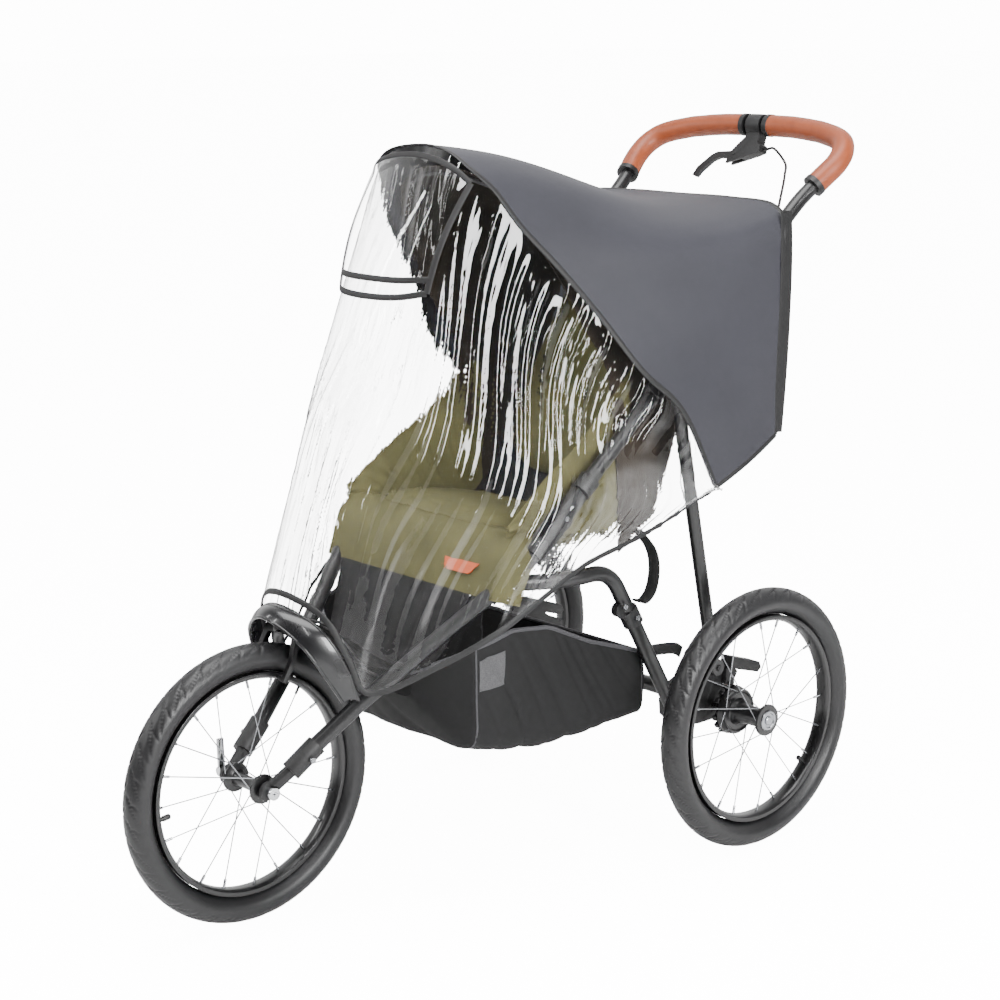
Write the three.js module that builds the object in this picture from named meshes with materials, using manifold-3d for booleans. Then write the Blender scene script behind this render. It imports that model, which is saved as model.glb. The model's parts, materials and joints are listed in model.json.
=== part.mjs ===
// Three-wheel jogging stroller with its rain cover fitted. Millimetres, +Z up.
// The stroller faces -Y and its own left side is +X. Every place is worked out from the front
// axle at y = 0 over the ground at z = 0, and the finished group is then centred on its footprint.
import * as THREE from "three";
import { mergeVertices } from "three/addons/utils/BufferGeometryUtils.js";
import Module from "manifold-3d";

const wasm = await Module();
wasm.setup();

// ---------------------------------------------------------------- driving dimensions
const GAP = 0.3;                   // between pieces that touch
const LOOSE = 0.5;                 // between pieces that turn or slide on each other

const WHEEL_RADIUS = 200;          // sixteen-inch pneumatic wheel
const WHEEL_FACETS = 24;
const TUBE_SIDES = 10;             // flats round a frame tube
const ROUND_SIDES = 12;            // flats round a boss, sleeve or bolt
const TYRE_WIDTH = 43;
const TYRE_DEPTH = 40;
const RIM_WIDTH = 26;
const RIM_DEPTH = 9;
const SPOKE_COUNT = 20;
const SPOKE_RADIUS = 1.3;
const WHEELBASE = 726;
const REAR_TRACK = 592;            // centre to centre of the rear tyres

const FRAME_RISE = THREE.MathUtils.degToRad(39.58);  // slope of the main tubes
const TUBE_RADIUS = 11.5;
const SLEEVE_RADIUS = 15;
const HANDLE_HALF = 193;           // main tubes, side to side from the middle
const HANDLE_FLARE = 18;           // extra half width of the push bar at its bend
const HANDLE_REACH = 1352;         // front axle to the top of the push bar, along the slope
const GRIP_RADIUS = 18;
const GRIP_START = HANDLE_REACH - 137;
const HINGE_AT = 540;              // fold hinge, along the slope
const HINGE_ARM = 50;              // hinge pin to the end of each tube
const HINGE_RADIUS = 14;
const CHEEK = 4.2;                 // thickness of each hinge cheek
const TONGUE = 12.8;               // thickness of the hinge tongue

const DROPOUT_HALF = 44;           // inner face of each front dropout, from the middle
const DROPOUT_WALL = 7;
const SKEWER_RADIUS = 3;
const LEG_HALF = HANDLE_HALF + 7;  // rear legs, from the middle
const SEAT_TUBE_Z = 452;
const BRACKET_INNER = LEG_HALF - 22;
const BRACKET_OUTER = LEG_HALF + 9;
const STUB_RADIUS = 6;
const STRUT_HALF = LEG_HALF + 24;
const STRUT_RADIUS = 11;
const STRUT_FOOT = [WHEELBASE - 20, WHEEL_RADIUS + 68]; // y, z of the pivot on the axle bracket
const STRUT_HEAD = [617, 710];     // y, z of the pivot on the sliding collar
const COLLAR_LENGTH = 50;
const PEDAL_PIVOT = [WHEELBASE + 24, WHEEL_RADIUS + 30];
const RATCHET_TEETH = 16;
const RATCHET_RADIUS = 38;
const TOOTH_DEPTH = 7;
const PIN_RADIUS = 2.5;

const COVER_HALF = STRUT_HALF + 20; // rain cover, half width at the hem
const COVER_WALL = 2.5;
const SEAT_HALF = HANDLE_HALF - 17;
const BACK_HALF = HANDLE_HALF - 45;
const BOW_HALF = HANDLE_HALF - 27;
const BASKET_HALF = LEG_HALF - 17;
const BASKET_WALL = 3;

// ---------------------------------------------------------------- small helpers
const v = (x, y, z) => new THREE.Vector3(x, y, z);
const slope = (x, along, off = 0) => v(
  x,
  along * Math.cos(FRAME_RISE) - off * Math.sin(FRAME_RISE),
  WHEEL_RADIUS + along * Math.sin(FRAME_RISE) + off * Math.cos(FRAME_RISE),
);

// A three.js geometry as a manifold solid, and back.
function solid(geometry) {
  const bare = geometry.index ? geometry.toNonIndexed() : geometry.clone();
  for (const name of Object.keys(bare.attributes)) {
    if (name !== "position") bare.deleteAttribute(name);
  }
  const merged = mergeVertices(bare, 1e-3);
  return new wasm.Manifold(new wasm.Mesh({
    numProp: 3,
    vertProperties: merged.attributes.position.array,
    triVerts: new Uint32Array(merged.index.array),
  }));
}

function geometryOf(body) {
  const mesh = body.getMesh();
  const geometry = new THREE.BufferGeometry();
  geometry.setAttribute("position", new THREE.Float32BufferAttribute(mesh.vertProperties, 3));
  geometry.setIndex(new THREE.Uint32BufferAttribute(mesh.triVerts, 1));
  return geometry;
}

const join = (...bodies) => bodies.reduce((sum, body) => sum.add(body));
const cut = (body, ...tools) => tools.reduce((rest, tool) => rest.subtract(tool), body);

// A path through given points, with one cross-section at each of them.
class PointPath extends THREE.Curve {
  constructor(points) {
    super();
    this.points = points;
  }

  getPoint(t, target = new THREE.Vector3()) {
    const place = t * (this.points.length - 1);
    const start = Math.min(Math.floor(place), this.points.length - 2);
    return target.lerpVectors(this.points[start], this.points[start + 1], place - start);
  }

  getPointAt(u, target) {
    return this.getPoint(u, target);
  }

  getTangentAt(u, target) {
    return this.getTangent(u, target);
  }
}

// A polyline whose inner corners are rounded, each by a short parabolic bend.
function rounded(corners, reach, steps = 4) {
  const points = [corners[0]];
  for (let i = 1; i < corners.length - 1; i += 1) {
    const before = corners[i - 1].clone().sub(corners[i]);
    const after = corners[i + 1].clone().sub(corners[i]);
    const cutBack = Math.min(reach, before.length() * 0.45, after.length() * 0.45);
    const bend = new THREE.QuadraticBezierCurve3(
      corners[i].clone().add(before.setLength(cutBack)),
      corners[i],
      corners[i].clone().add(after.setLength(cutBack)),
    );
    points.push(...bend.getPoints(steps));
  }
  points.push(corners[corners.length - 1]);
  return points;
}

function circle(radius, sides) {
  return new THREE.Shape(Array.from({ length: sides }, (_, i) => {
    const angle = (i / sides) * Math.PI * 2;
    return new THREE.Vector2(radius * Math.cos(angle), radius * Math.sin(angle));
  }));
}

// A round bar along a list of points.
function tube(points, radius, sides = TUBE_SIDES) {
  return solid(new THREE.ExtrudeGeometry(circle(radius, sides), {
    steps: points.length - 1,
    extrudePath: new PointPath(points),
    bevelEnabled: false,
  }));
}

const rod = (a, b, radius, sides = TUBE_SIDES) => tube([a, b], radius, sides);

// A flat outline of [y, z] points, as a plate between two x values.
function plate(outline, x0, x1) {
  const shape = new THREE.Shape(outline.map(([y, z]) => new THREE.Vector2(y, z)));
  const geometry = new THREE.ExtrudeGeometry(shape, { depth: Math.abs(x1 - x0), bevelEnabled: false });
  geometry.applyMatrix4(new THREE.Matrix4().makeBasis(v(0, 1, 0), v(0, 0, 1), v(1, 0, 0)));
  geometry.translate(Math.min(x0, x1), 0, 0);
  return solid(geometry);
}

// A flat outline in the plane of two directions from an origin, thick along the third.
function slab(outline, origin, along, across, from, to) {
  const normal = along.clone().cross(across);
  const shape = new THREE.Shape(outline.map(([a, b]) => new THREE.Vector2(a, b)));
  const geometry = new THREE.ExtrudeGeometry(shape, { depth: to - from, bevelEnabled: false });
  geometry.translate(0, 0, from);
  geometry.applyMatrix4(new THREE.Matrix4().makeBasis(along, across, normal).setPosition(origin));
  return solid(geometry);
}

const disc = (y, z, radius, x0, x1, sides = ROUND_SIDES) => rod(
  v(Math.min(x0, x1), y, z),
  v(Math.max(x0, x1), y, z),
  radius,
  sides,
);

// A turned piece on the X axis through (y, z), from a profile loop of [radius, x] points.
function turned(loop, y, z, facets) {
  const points = loop.map(([r, x]) => new THREE.Vector2(r, x));
  if (THREE.ShapeUtils.area(points) < 0) points.reverse();
  points.push(points[0]);
  const geometry = new THREE.LatheGeometry(points, facets);
  geometry.rotateZ(-Math.PI / 2);
  geometry.rotateX(Math.PI / facets);
  geometry.translate(0, y, z);
  return solid(geometry);
}

// A closed sheet of even thickness: a grid of points over (u, v), pushed inwards for its back.
function sheet(surface, rows, columns, thickness, inside) {
  const front = [];
  const back = [];
  for (let i = 0; i <= rows; i += 1) {
    for (let j = 0; j <= columns; j += 1) {
      const at = surface(i / rows, j / columns);
      const du = surface(Math.min(i / rows + 0.01, 1), j / columns)
        .sub(surface(Math.max(i / rows - 0.01, 0), j / columns));
      const dv = surface(i / rows, Math.min(j / columns + 0.01, 1))
        .sub(surface(i / rows, Math.max(j / columns - 0.01, 0)));
      const normal = du.cross(dv).normalize();
      if (normal.dot(inside.clone().sub(at)) < 0) normal.negate();
      front.push(at);
      back.push(at.clone().addScaledVector(normal, thickness));
    }
  }
  const across = columns + 1;
  const index = [];
  const quad = (a, b, c, d) => index.push(a, b, c, a, c, d);
  const far = front.length;
  for (let i = 0; i < rows; i += 1) {
    for (let j = 0; j < columns; j += 1) {
      const a = i * across + j;
      quad(a, a + 1, a + 1 + across, a + across);
      quad(far + a, far + a + across, far + a + 1 + across, far + a + 1);
    }
  }
  for (let j = 0; j < columns; j += 1) {
    const last = rows * across + j;
    quad(j, far + j, far + j + 1, j + 1);
    quad(last, last + 1, far + last + 1, far + last);
  }
  for (let i = 0; i < rows; i += 1) {
    const a = i * across;
    const b = a + columns;
    quad(a, a + across, far + a + across, far + a);
    quad(b, far + b, far + b + across, b + across);
  }
  const geometry = new THREE.BufferGeometry();
  const points = [...front, ...back];
  geometry.setAttribute("position", new THREE.Float32BufferAttribute(points.flatMap((p) => p.toArray()), 3));
  geometry.setIndex(index);
  const body = solid(geometry);
  if (body.volume() > 0) return body;
  for (let i = 0; i < index.length; i += 3) [index[i], index[i + 1]] = [index[i + 1], index[i]];
  geometry.setIndex(index);
  return solid(geometry);
}

// A smooth line through points, read by its share of length from 0 to 1, mirrored about x = 0:
// the points run from the left hem up to the middle, and the right side is their mirror image.
function arch(points) {
  const left = points.map((p) => v(...p));
  const right = points.slice(0, -1).reverse().map(([x, y, z]) => v(-x, y, z));
  const curve = new THREE.CatmullRomCurve3([...left, ...right], false, "centripetal");
  curve.arcLengthDivisions = 400;
  return (share) => curve.getPointAt(share);
}

const PAINTS = {
  satin_black: { color: 0x1c1c1f, roughness: 0.42, metalness: 0.3 },
  moulded_black: { color: 0x202124, roughness: 0.6, metalness: 0 },
  rubber: { color: 0x242426, roughness: 0.85, metalness: 0 },
  steel: { color: 0xb9bbbf, roughness: 0.25, metalness: 1 },
  leather: { color: 0xb9603a, roughness: 0.6, metalness: 0 },
  olive: { color: 0x6b6a3f, roughness: 0.9, metalness: 0 },
  charcoal: { color: 0x4b4b52, roughness: 0.85, metalness: 0 },
  black_cloth: { color: 0x1d1c1d, roughness: 0.95, metalness: 0 },
  lining: { color: 0x33291f, roughness: 0.9, metalness: 0 },
  clear_vinyl: { color: 0xe8edf0, roughness: 0.08, metalness: 0 },
};

const stroller = new THREE.Group();

function piece(name, body, paint) {
  const mesh = new THREE.Mesh(geometryOf(body), new THREE.MeshStandardMaterial(PAINTS[paint]));
  mesh.name = name;
  stroller.add(mesh);
  return body;
}

const SIDES = [["left", 1], ["right", -1]];

// ---------------------------------------------------------------- wheels
const FLAT_RADIUS = WHEEL_RADIUS / Math.cos(Math.PI / WHEEL_FACETS);
const TYRE_INNER = WHEEL_RADIUS - TYRE_DEPTH;
const RIM_OUTER = TYRE_INNER - GAP;
const RIM_INNER = RIM_OUTER - RIM_DEPTH;

// Half of the tyre's section: share of its depth, share of its half width.
const TYRE_SECTION = [[0, 0.62], [0.3, 1], [0.76, 0.86], [1, 0.36]];

function tyre(x, y) {
  const half = TYRE_SECTION.map(([deep, wide]) => [
    TYRE_INNER + deep * (FLAT_RADIUS - TYRE_INNER),
    wide * TYRE_WIDTH / 2,
  ]);
  const other = half.map(([r, w]) => [r, -w]).reverse();
  const loop = [...half, ...other];
  return turned(loop.map(([r, w]) => [r, w + x]), y, WHEEL_RADIUS, WHEEL_FACETS);
}

function rim(x, y) {
  const flange = RIM_WIDTH / 2;
  const well = flange * 0.7;
  const loop = [[RIM_INNER, -well], [RIM_INNER, well], [RIM_OUTER, flange], [RIM_OUTER, -flange]];
  return turned(loop.map(([r, w]) => [r, w + x]), y, WHEEL_RADIUS, WHEEL_FACETS);
}

// Crossed spokes between two flanges and the rim, laid out in pairs that lean opposite ways.
function spokes(x, y, flanges) {
  const CROSSING = THREE.MathUtils.degToRad(52);
  const bodies = [];
  for (let i = 0; i < SPOKE_COUNT; i += 1) {
    const flange = flanges[i % 2];
    const lean = Math.floor(i / 2) % 2 ? CROSSING : -CROSSING;
    const foot = (i / SPOKE_COUNT) * Math.PI * 2;
    const head = foot + lean;
    const at = (r, angle, across) => v(across, y + r * Math.cos(angle), WHEEL_RADIUS + r * Math.sin(angle));
    bodies.push(rod(
      at(flange.radius - 4, head, flange.x),
      at(RIM_INNER * Math.cos(Math.PI / WHEEL_FACETS) - GAP - SPOKE_RADIUS, foot, x + Math.sign(flange.x - x) * 3),
      SPOKE_RADIUS,
      3,
    ));
  }
  return join(...bodies);
}

function wheel(place, x, y, hub) {
  piece(`tyre_${place}`, tyre(x, y), "rubber");
  piece(`rim_${place}`, rim(x, y), "satin_black");
  piece(`hub_spokes_${place}`, hub, "steel");
}

const FRONT_FLANGE = { radius: 21, half: 30, wall: 3 };
const FRONT_HUB_HALF = DROPOUT_HALF - LOOSE;
const FRONT_BORE = SKEWER_RADIUS + LOOSE;
const frontLoop = [
  [FRONT_BORE, -FRONT_HUB_HALF], [8, -FRONT_HUB_HALF], [9, -FRONT_FLANGE.half - FRONT_FLANGE.wall],
  [FRONT_FLANGE.radius, -FRONT_FLANGE.half - FRONT_FLANGE.wall], [FRONT_FLANGE.radius, -FRONT_FLANGE.half],
  [12, -FRONT_FLANGE.half + 4], [12, FRONT_FLANGE.half - 4],
  [FRONT_FLANGE.radius, FRONT_FLANGE.half], [FRONT_FLANGE.radius, FRONT_FLANGE.half + FRONT_FLANGE.wall],
  [9, FRONT_FLANGE.half + FRONT_FLANGE.wall], [8, FRONT_HUB_HALF], [FRONT_BORE, FRONT_HUB_HALF],
];
const frontFlanges = [-1, 1].map((side) => ({
  x: side * (FRONT_FLANGE.half + FRONT_FLANGE.wall / 2),
  radius: FRONT_FLANGE.radius,
}));
wheel("front", 0, 0, join(
  turned(frontLoop, 0, WHEEL_RADIUS, 12),
  spokes(0, 0, frontFlanges),
));

// Rear hubs: the brake's toothed ring and its dust cover on the inner side, a flange outside.
const REAR_HALF = REAR_TRACK / 2;
const RING_X = [238, 246];
const DISH_X = [RING_X[1] + GAP, 262];
const FLANGE_X = [312, 318];
const CAP_X = 321;
const STUB_END = FLANGE_X[1] - 4;
const REAR_BORE = STUB_RADIUS + LOOSE;
const CAP_RADIUS = 15;

function rearHub(side) {
  const loop = [
    [REAR_BORE, DISH_X[0]], [36, DISH_X[0]], [33, DISH_X[1]], [17, DISH_X[1] + 2], [15, DISH_X[1] + 14],
    [15, FLANGE_X[0] - 4], [24, FLANGE_X[0]], [24, FLANGE_X[1]], [CAP_RADIUS, FLANGE_X[1]],
    [CAP_RADIUS - 1, CAP_X], [0, CAP_X], [0, STUB_END + 1], [REAR_BORE, STUB_END + 1],
  ];
  const profile = loop.map(([r, x]) => [r, x * side]);
  const flanges = [{ x: side * (DISH_X[1] - 3), radius: 33 }, { x: side * (FLANGE_X[0] + 3), radius: 24 }];
  return join(turned(profile, WHEELBASE, WHEEL_RADIUS, 12), spokes(side * REAR_HALF, WHEELBASE, flanges));
}

function ratchet(side) {
  const outline = [];
  const half = Math.PI / RATCHET_TEETH / 2;
  const point = (r, angle) => [WHEELBASE + r * Math.cos(angle), WHEEL_RADIUS + r * Math.sin(angle)];
  for (let i = 0; i < RATCHET_TEETH; i += 1) {
    const middle = ((i + 0.5) / RATCHET_TEETH) * Math.PI * 2;
    outline.push(point(RATCHET_RADIUS - TOOTH_DEPTH, middle - half), point(RATCHET_RADIUS, middle - half));
    outline.push(point(RATCHET_RADIUS, middle + half), point(RATCHET_RADIUS - TOOTH_DEPTH, middle + half));
  }
  const bore = disc(WHEELBASE, WHEEL_RADIUS, REAR_BORE, side * (RING_X[0] - 1), side * (RING_X[1] + 1));
  return cut(plate(outline, side * RING_X[0], side * RING_X[1]), bore);
}

for (const [place, side] of SIDES) {
  wheel(place, side * REAR_HALF, WHEELBASE, rearHub(side));
  piece(`brake_ring_${place}`, ratchet(side), "moulded_black");
}

// ---------------------------------------------------------------- fork and front axle
const SHOULDER_AT = 39;
const SLEEVE_END = 90;
const SLEEVE_X = [57.8, 67];
const forkPath = (side) => [
  slope(side * (SLEEVE_X[1] - 5), SLEEVE_END - 20),
  slope(side * SLEEVE_X[1], SLEEVE_END),
  ...rounded([
    slope(side * 88, 169),
    slope(side * (HANDLE_HALF - 43), 332),
    slope(side * HANDLE_HALF, 445),
    slope(side * HANDLE_HALF, HINGE_AT - HINGE_ARM),
  ], 30, 3),
];
const PIN = slope(0, HINGE_AT);

const NUT_RADIUS = 9;
const NUT_X = [DROPOUT_HALF + DROPOUT_WALL + GAP, 62];
const forkTubes = {};
for (const [place, side] of SIDES) {
  const line = forkPath(side);
  forkTubes[place] = piece(`fork_tube_${place}`, tube(line, TUBE_RADIUS), "satin_black");
  const faceX = side * (DROPOUT_HALF + DROPOUT_WALL / 2);
  const body = join(
    disc(0, WHEEL_RADIUS, 15, side * DROPOUT_HALF, side * (DROPOUT_HALF + DROPOUT_WALL)),
    rod(v(faceX, 5, WHEEL_RADIUS + 5), slope(side * SLEEVE_X[0], SHOULDER_AT + 6), 10),
    rod(slope(side * SLEEVE_X[0], SHOULDER_AT), slope(side * SLEEVE_X[1], SLEEVE_END), SLEEVE_RADIUS, ROUND_SIDES),
  );
  const HOOK = SKEWER_RADIUS + 2;
  const slot = plate([
    [-HOOK, WHEEL_RADIUS], [-HOOK, WHEEL_RADIUS - 20], [HOOK, WHEEL_RADIUS - 20], [HOOK, WHEEL_RADIUS],
    [HOOK * 0.5, WHEEL_RADIUS + HOOK], [-HOOK * 0.5, WHEEL_RADIUS + HOOK],
  ], side * (DROPOUT_HALF - 1), side * (DROPOUT_HALF + DROPOUT_WALL + 1));
  const clearAxle = disc(0, WHEEL_RADIUS, NUT_RADIUS + 2, side * (DROPOUT_HALF + DROPOUT_WALL), side * 80);
  piece(`fork_end_${place}`, cut(body, slot, clearAxle, tube(line, TUBE_RADIUS + GAP)), "moulded_black");
}
piece("axle_skewer", join(
  disc(0, WHEEL_RADIUS, SKEWER_RADIUS, -58, 66, 12),
  disc(0, WHEEL_RADIUS, NUT_RADIUS, NUT_X[0], NUT_X[1], 12),
), "steel");

// Quick-release cam lever on the right end of the skewer: it stands up beside the fork when shut.
const CAM_X = -66;
const CAM_RADIUS = 7;
const CAM_HALF = 6;
piece("quick_release_lever", join(
  rod(v(CAM_X, -CAM_HALF, WHEEL_RADIUS), v(CAM_X, CAM_HALF, WHEEL_RADIUS), CAM_RADIUS, ROUND_SIDES),
  slab([[-3, 0], [2, 0], [0, 48], [-4, 48]], v(CAM_X, 0, WHEEL_RADIUS), v(1, 0, 0), v(0, 0, 1), -5, 5),
), "steel");

// Arched bridge that joins the fork over the tyre and carries the rim brake.
const BRIDGE_ANGLE = THREE.MathUtils.degToRad(67.5);
const BRIDGE_RADIUS = 9;
const radial = v(0, Math.cos(BRIDGE_ANGLE), Math.sin(BRIDGE_ANGLE));
const tangent = v(0, -Math.sin(BRIDGE_ANGLE), Math.cos(BRIDGE_ANGLE));
const aroundWheel = (x, r, t) => v(x, 0, WHEEL_RADIUS)
  .addScaledVector(radial, r)
  .addScaledVector(tangent, t);
const BRIDGE_AT = WHEEL_RADIUS + 20;
const bridgePath = rounded([
  slope(88, 171), aroundWheel(44, BRIDGE_AT, 0), aroundWheel(-44, BRIDGE_AT, 0), slope(-88, 171),
], 34, 3);

// Rim-brake arms: two hooks on one bolt in front of the bridge, each with a pad beside the rim.
const ARM = 8;
const BOLT_RADIUS = 3.5;
const PAD_CLEARANCE = 2;
const armFront = BRIDGE_RADIUS + LOOSE;
const boltHead = armFront + 2 * ARM + 2 * GAP;
for (const [place, side] of SIDES) {
  const layer = side > 0 ? armFront + GAP : armFront + GAP + ARM + GAP;
  const padX = RIM_WIDTH / 2 + PAD_CLEARANCE;
  const padTop = Math.sqrt(TYRE_INNER ** 2 - (layer + ARM) ** 2) * Math.cos(Math.PI / WHEEL_FACETS) - 1;
  const hook = [
    [-9, BRIDGE_AT - 7], [22, BRIDGE_AT - 9], [29, TYRE_INNER + 22], [26, padTop],
    [padX, padTop], [padX, RIM_INNER + 1], [32, RIM_INNER - 2], [37, TYRE_INNER + 22],
    [30, BRIDGE_AT + 5], [-9, BRIDGE_AT + 7],
  ];
  const outline = hook.map(([x, r]) => [side * x, r]);
  const bore = rod(aroundWheel(0, BRIDGE_AT, 0), aroundWheel(0, BRIDGE_AT, 60), BOLT_RADIUS + LOOSE, 8);
  const body = slab(outline, v(0, 0, WHEEL_RADIUS), v(1, 0, 0), radial, layer, layer + ARM);
  piece(`caliper_arm_${place}`, cut(body, bore), "satin_black");
}
const boltStart = aroundWheel(0, BRIDGE_AT, 0);
const boltEnd = aroundWheel(0, BRIDGE_AT, boltHead + 6);
piece("fork_bridge", join(
  cut(
    tube(bridgePath, BRIDGE_RADIUS, TUBE_SIDES),
    ...SIDES.map(([, side]) => tube(forkPath(side), TUBE_RADIUS + GAP)),
  ),
  rod(boltStart, boltEnd, BOLT_RADIUS, 10),
  rod(aroundWheel(0, BRIDGE_AT, boltHead + 1), boltEnd, 6.5, 10),
), "satin_black");

// ---------------------------------------------------------------- fold hinges and push bar
const hingeLine = (x, r) => slope(x, HINGE_AT + r);

// A strip of the hinge from the pin to the tube's end, as a side outline.
function hingeStrip(sign) {
  const WIDTH = 12;
  const outline = [];
  const middle = sign > 0 ? FRAME_RISE : FRAME_RISE + Math.PI;
  for (let i = 0; i <= 8; i += 1) {
    const angle = middle + Math.PI / 2 + (i / 8) * Math.PI;
    outline.push([PIN.y + HINGE_RADIUS * Math.cos(angle), PIN.z + HINGE_RADIUS * Math.sin(angle)]);
  }
  for (const off of [-WIDTH, WIDTH]) {
    const far = slope(0, HINGE_AT + sign * (HINGE_ARM + 4), sign * off);
    outline.push([far.y, far.z]);
  }
  return outline;
}

const handleOuter = [
  [HANDLE_HALF, HINGE_AT + HINGE_ARM], [HANDLE_HALF, HANDLE_REACH - 202], [HANDLE_HALF + 2, HANDLE_REACH - 152],
  [HANDLE_HALF + HANDLE_FLARE * 0.6, HANDLE_REACH - 114], [HANDLE_HALF + HANDLE_FLARE, HANDLE_REACH - 82],
  [HANDLE_HALF + HANDLE_FLARE * 0.83, HANDLE_REACH - 54], [HANDLE_HALF - 1, HANDLE_REACH - 31],
  [152, HANDLE_REACH - 14], [78, HANDLE_REACH - 2], [14, HANDLE_REACH],
];
const handleSide = (side) => handleOuter.map(([x, along]) => slope(side * x, along));
const handleLine = [...handleSide(1), ...handleSide(-1).reverse()];
const handleTube = piece("handle_tube", tube(handleLine, TUBE_RADIUS), "satin_black");

const COLLAR_AT = Math.hypot(STRUT_HEAD[0] - PIN.y, STRUT_HEAD[1] - PIN.z) + HINGE_AT;
for (const [place, side] of SIDES) {
  const inner = HANDLE_HALF - TONGUE / 2;
  const outer = HANDLE_HALF + TONGUE / 2;
  const x = side * HANDLE_HALF;
  const cheeks = [
    plate(hingeStrip(-1), side * (inner - LOOSE - CHEEK), side * (inner - LOOSE)),
    plate(hingeStrip(-1), side * (outer + LOOSE), side * (outer + LOOSE + CHEEK)),
  ];
  const lowerSleeve = rod(hingeLine(x, -HINGE_ARM + 2), hingeLine(x, -HINGE_ARM - 24), SLEEVE_RADIUS + 1, ROUND_SIDES);
  const pin = disc(PIN.y, PIN.z, 4, side * (inner - CHEEK - 2), side * (outer + CHEEK + 2), 12);
  piece(`hinge_lower_${place}`, join(
    cut(join(...cheeks, lowerSleeve), tube(forkPath(side), TUBE_RADIUS + GAP)),
    pin,
  ), "moulded_black");
  const upperSleeve = rod(hingeLine(x, HINGE_ARM - 2), hingeLine(x, HINGE_ARM + 24), SLEEVE_RADIUS + 1, ROUND_SIDES);
  piece(`hinge_upper_${place}`, cut(
    join(plate(hingeStrip(1), side * inner, side * outer), upperSleeve),
    tube(handleSide(side), TUBE_RADIUS + GAP),
    disc(PIN.y, PIN.z, 4 + LOOSE, side * (inner - 20), side * (outer + 20)),
  ), "moulded_black");

  // Sliding collar on the main tube, with the boss that carries the strut's head.
  const along = [COLLAR_AT - COLLAR_LENGTH / 2, COLLAR_AT + COLLAR_LENGTH / 2];
  const bossEnd = STRUT_HALF - STRUT_RADIUS - LOOSE;
  piece(`strut_collar_${place}`, cut(
    join(
      rod(slope(x, along[0]), slope(x, along[1]), SLEEVE_RADIUS + 1, ROUND_SIDES),
      disc(STRUT_HEAD[0], STRUT_HEAD[1], STRUT_RADIUS, x, side * bossEnd),
    ),
    rod(slope(x, along[0] - 5), slope(x, along[1] + 5), TUBE_RADIUS + LOOSE, 12),
  ), "moulded_black");

  // Grip: a leather-wrapped sleeve from the straight tube to the brake clamp.
  const gripPoints = handleSide(side).filter((p) => p.distanceTo(slope(p.x, 0)) > GRIP_START);
  const start = slope(side * (HANDLE_HALF + 4), GRIP_START);
  const end = slope(side * 17, HANDLE_REACH);
  piece(`grip_${place}`, cut(
    tube([start, ...gripPoints.slice(0, -1), end], GRIP_RADIUS, ROUND_SIDES),
    tube(handleLine, TUBE_RADIUS + GAP),
  ), "leather");
}

// ---------------------------------------------------------------- hand brake
// The lever hangs from the middle of the push bar, in the plane of the bar and of a line that
// drops almost straight down.
const bar = slope(0, HANDLE_REACH);
const DROP = THREE.MathUtils.degToRad(15.6);
const down = v(0, -Math.sin(DROP), -Math.cos(DROP));
const acrossBar = v(1, 0, 0);
const LEVER_PIVOT = [-34, 50];
const hanging = (x, drop) => bar.clone().addScaledVector(down, drop).add(v(x, 0, 0));
const leverNormal = acrossBar.clone().cross(down);
const onLever = (x, drop, off) => hanging(x, drop).addScaledVector(leverNormal, off);

const HOUSING_HALF = 10;
const BLADE_HALF = 4;
const CLAMP_HALF = 14;
const housing = slab([
  [-CLAMP_HALF, 8], [CLAMP_HALF, 8], [13, 30], [20, 34], [20, 44], [8, 49], [-47, 66], [-43, 50], [-28, 34],
  [-CLAMP_HALF, 21],
], bar, acrossBar, down, -HOUSING_HALF, HOUSING_HALF);
const bladeSlot = slab(
  [[-18, 36], [-60, 36], [-60, 80], [-18, 80]],
  bar,
  acrossBar,
  down,
  -BLADE_HALF - LOOSE,
  BLADE_HALF + LOOSE,
);
const leverBolt = rod(
  onLever(...LEVER_PIVOT, -HOUSING_HALF - 1),
  onLever(...LEVER_PIVOT, HOUSING_HALF + 1),
  2.5,
  10,
);
piece("brake_clamp", join(
  cut(
    join(rod(bar.clone().add(v(-CLAMP_HALF, 0, 0)), bar.clone().add(v(CLAMP_HALF, 0, 0)), GRIP_RADIUS, ROUND_SIDES), housing),
    tube(handleLine, TUBE_RADIUS + GAP),
    bladeSlot,
  ),
  leverBolt,
), "moulded_black");

const leverEye = rod(
  onLever(...LEVER_PIVOT, -BLADE_HALF),
  onLever(...LEVER_PIVOT, BLADE_HALF),
  7,
  12,
);
piece("brake_lever", cut(
  join(leverEye, slab([
    [-33, 56], [-36, 44], [-74, 47], [-86, 53], [-112, 74], [-120, 88], [-111, 91], [-103, 81], [-82, 63], [-68, 57],
  ], bar, acrossBar, down, -BLADE_HALF, BLADE_HALF)),
  rod(onLever(...LEVER_PIVOT, -20), onLever(...LEVER_PIVOT, 20), 2.5 + LOOSE, 10),
), "moulded_black");

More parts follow.
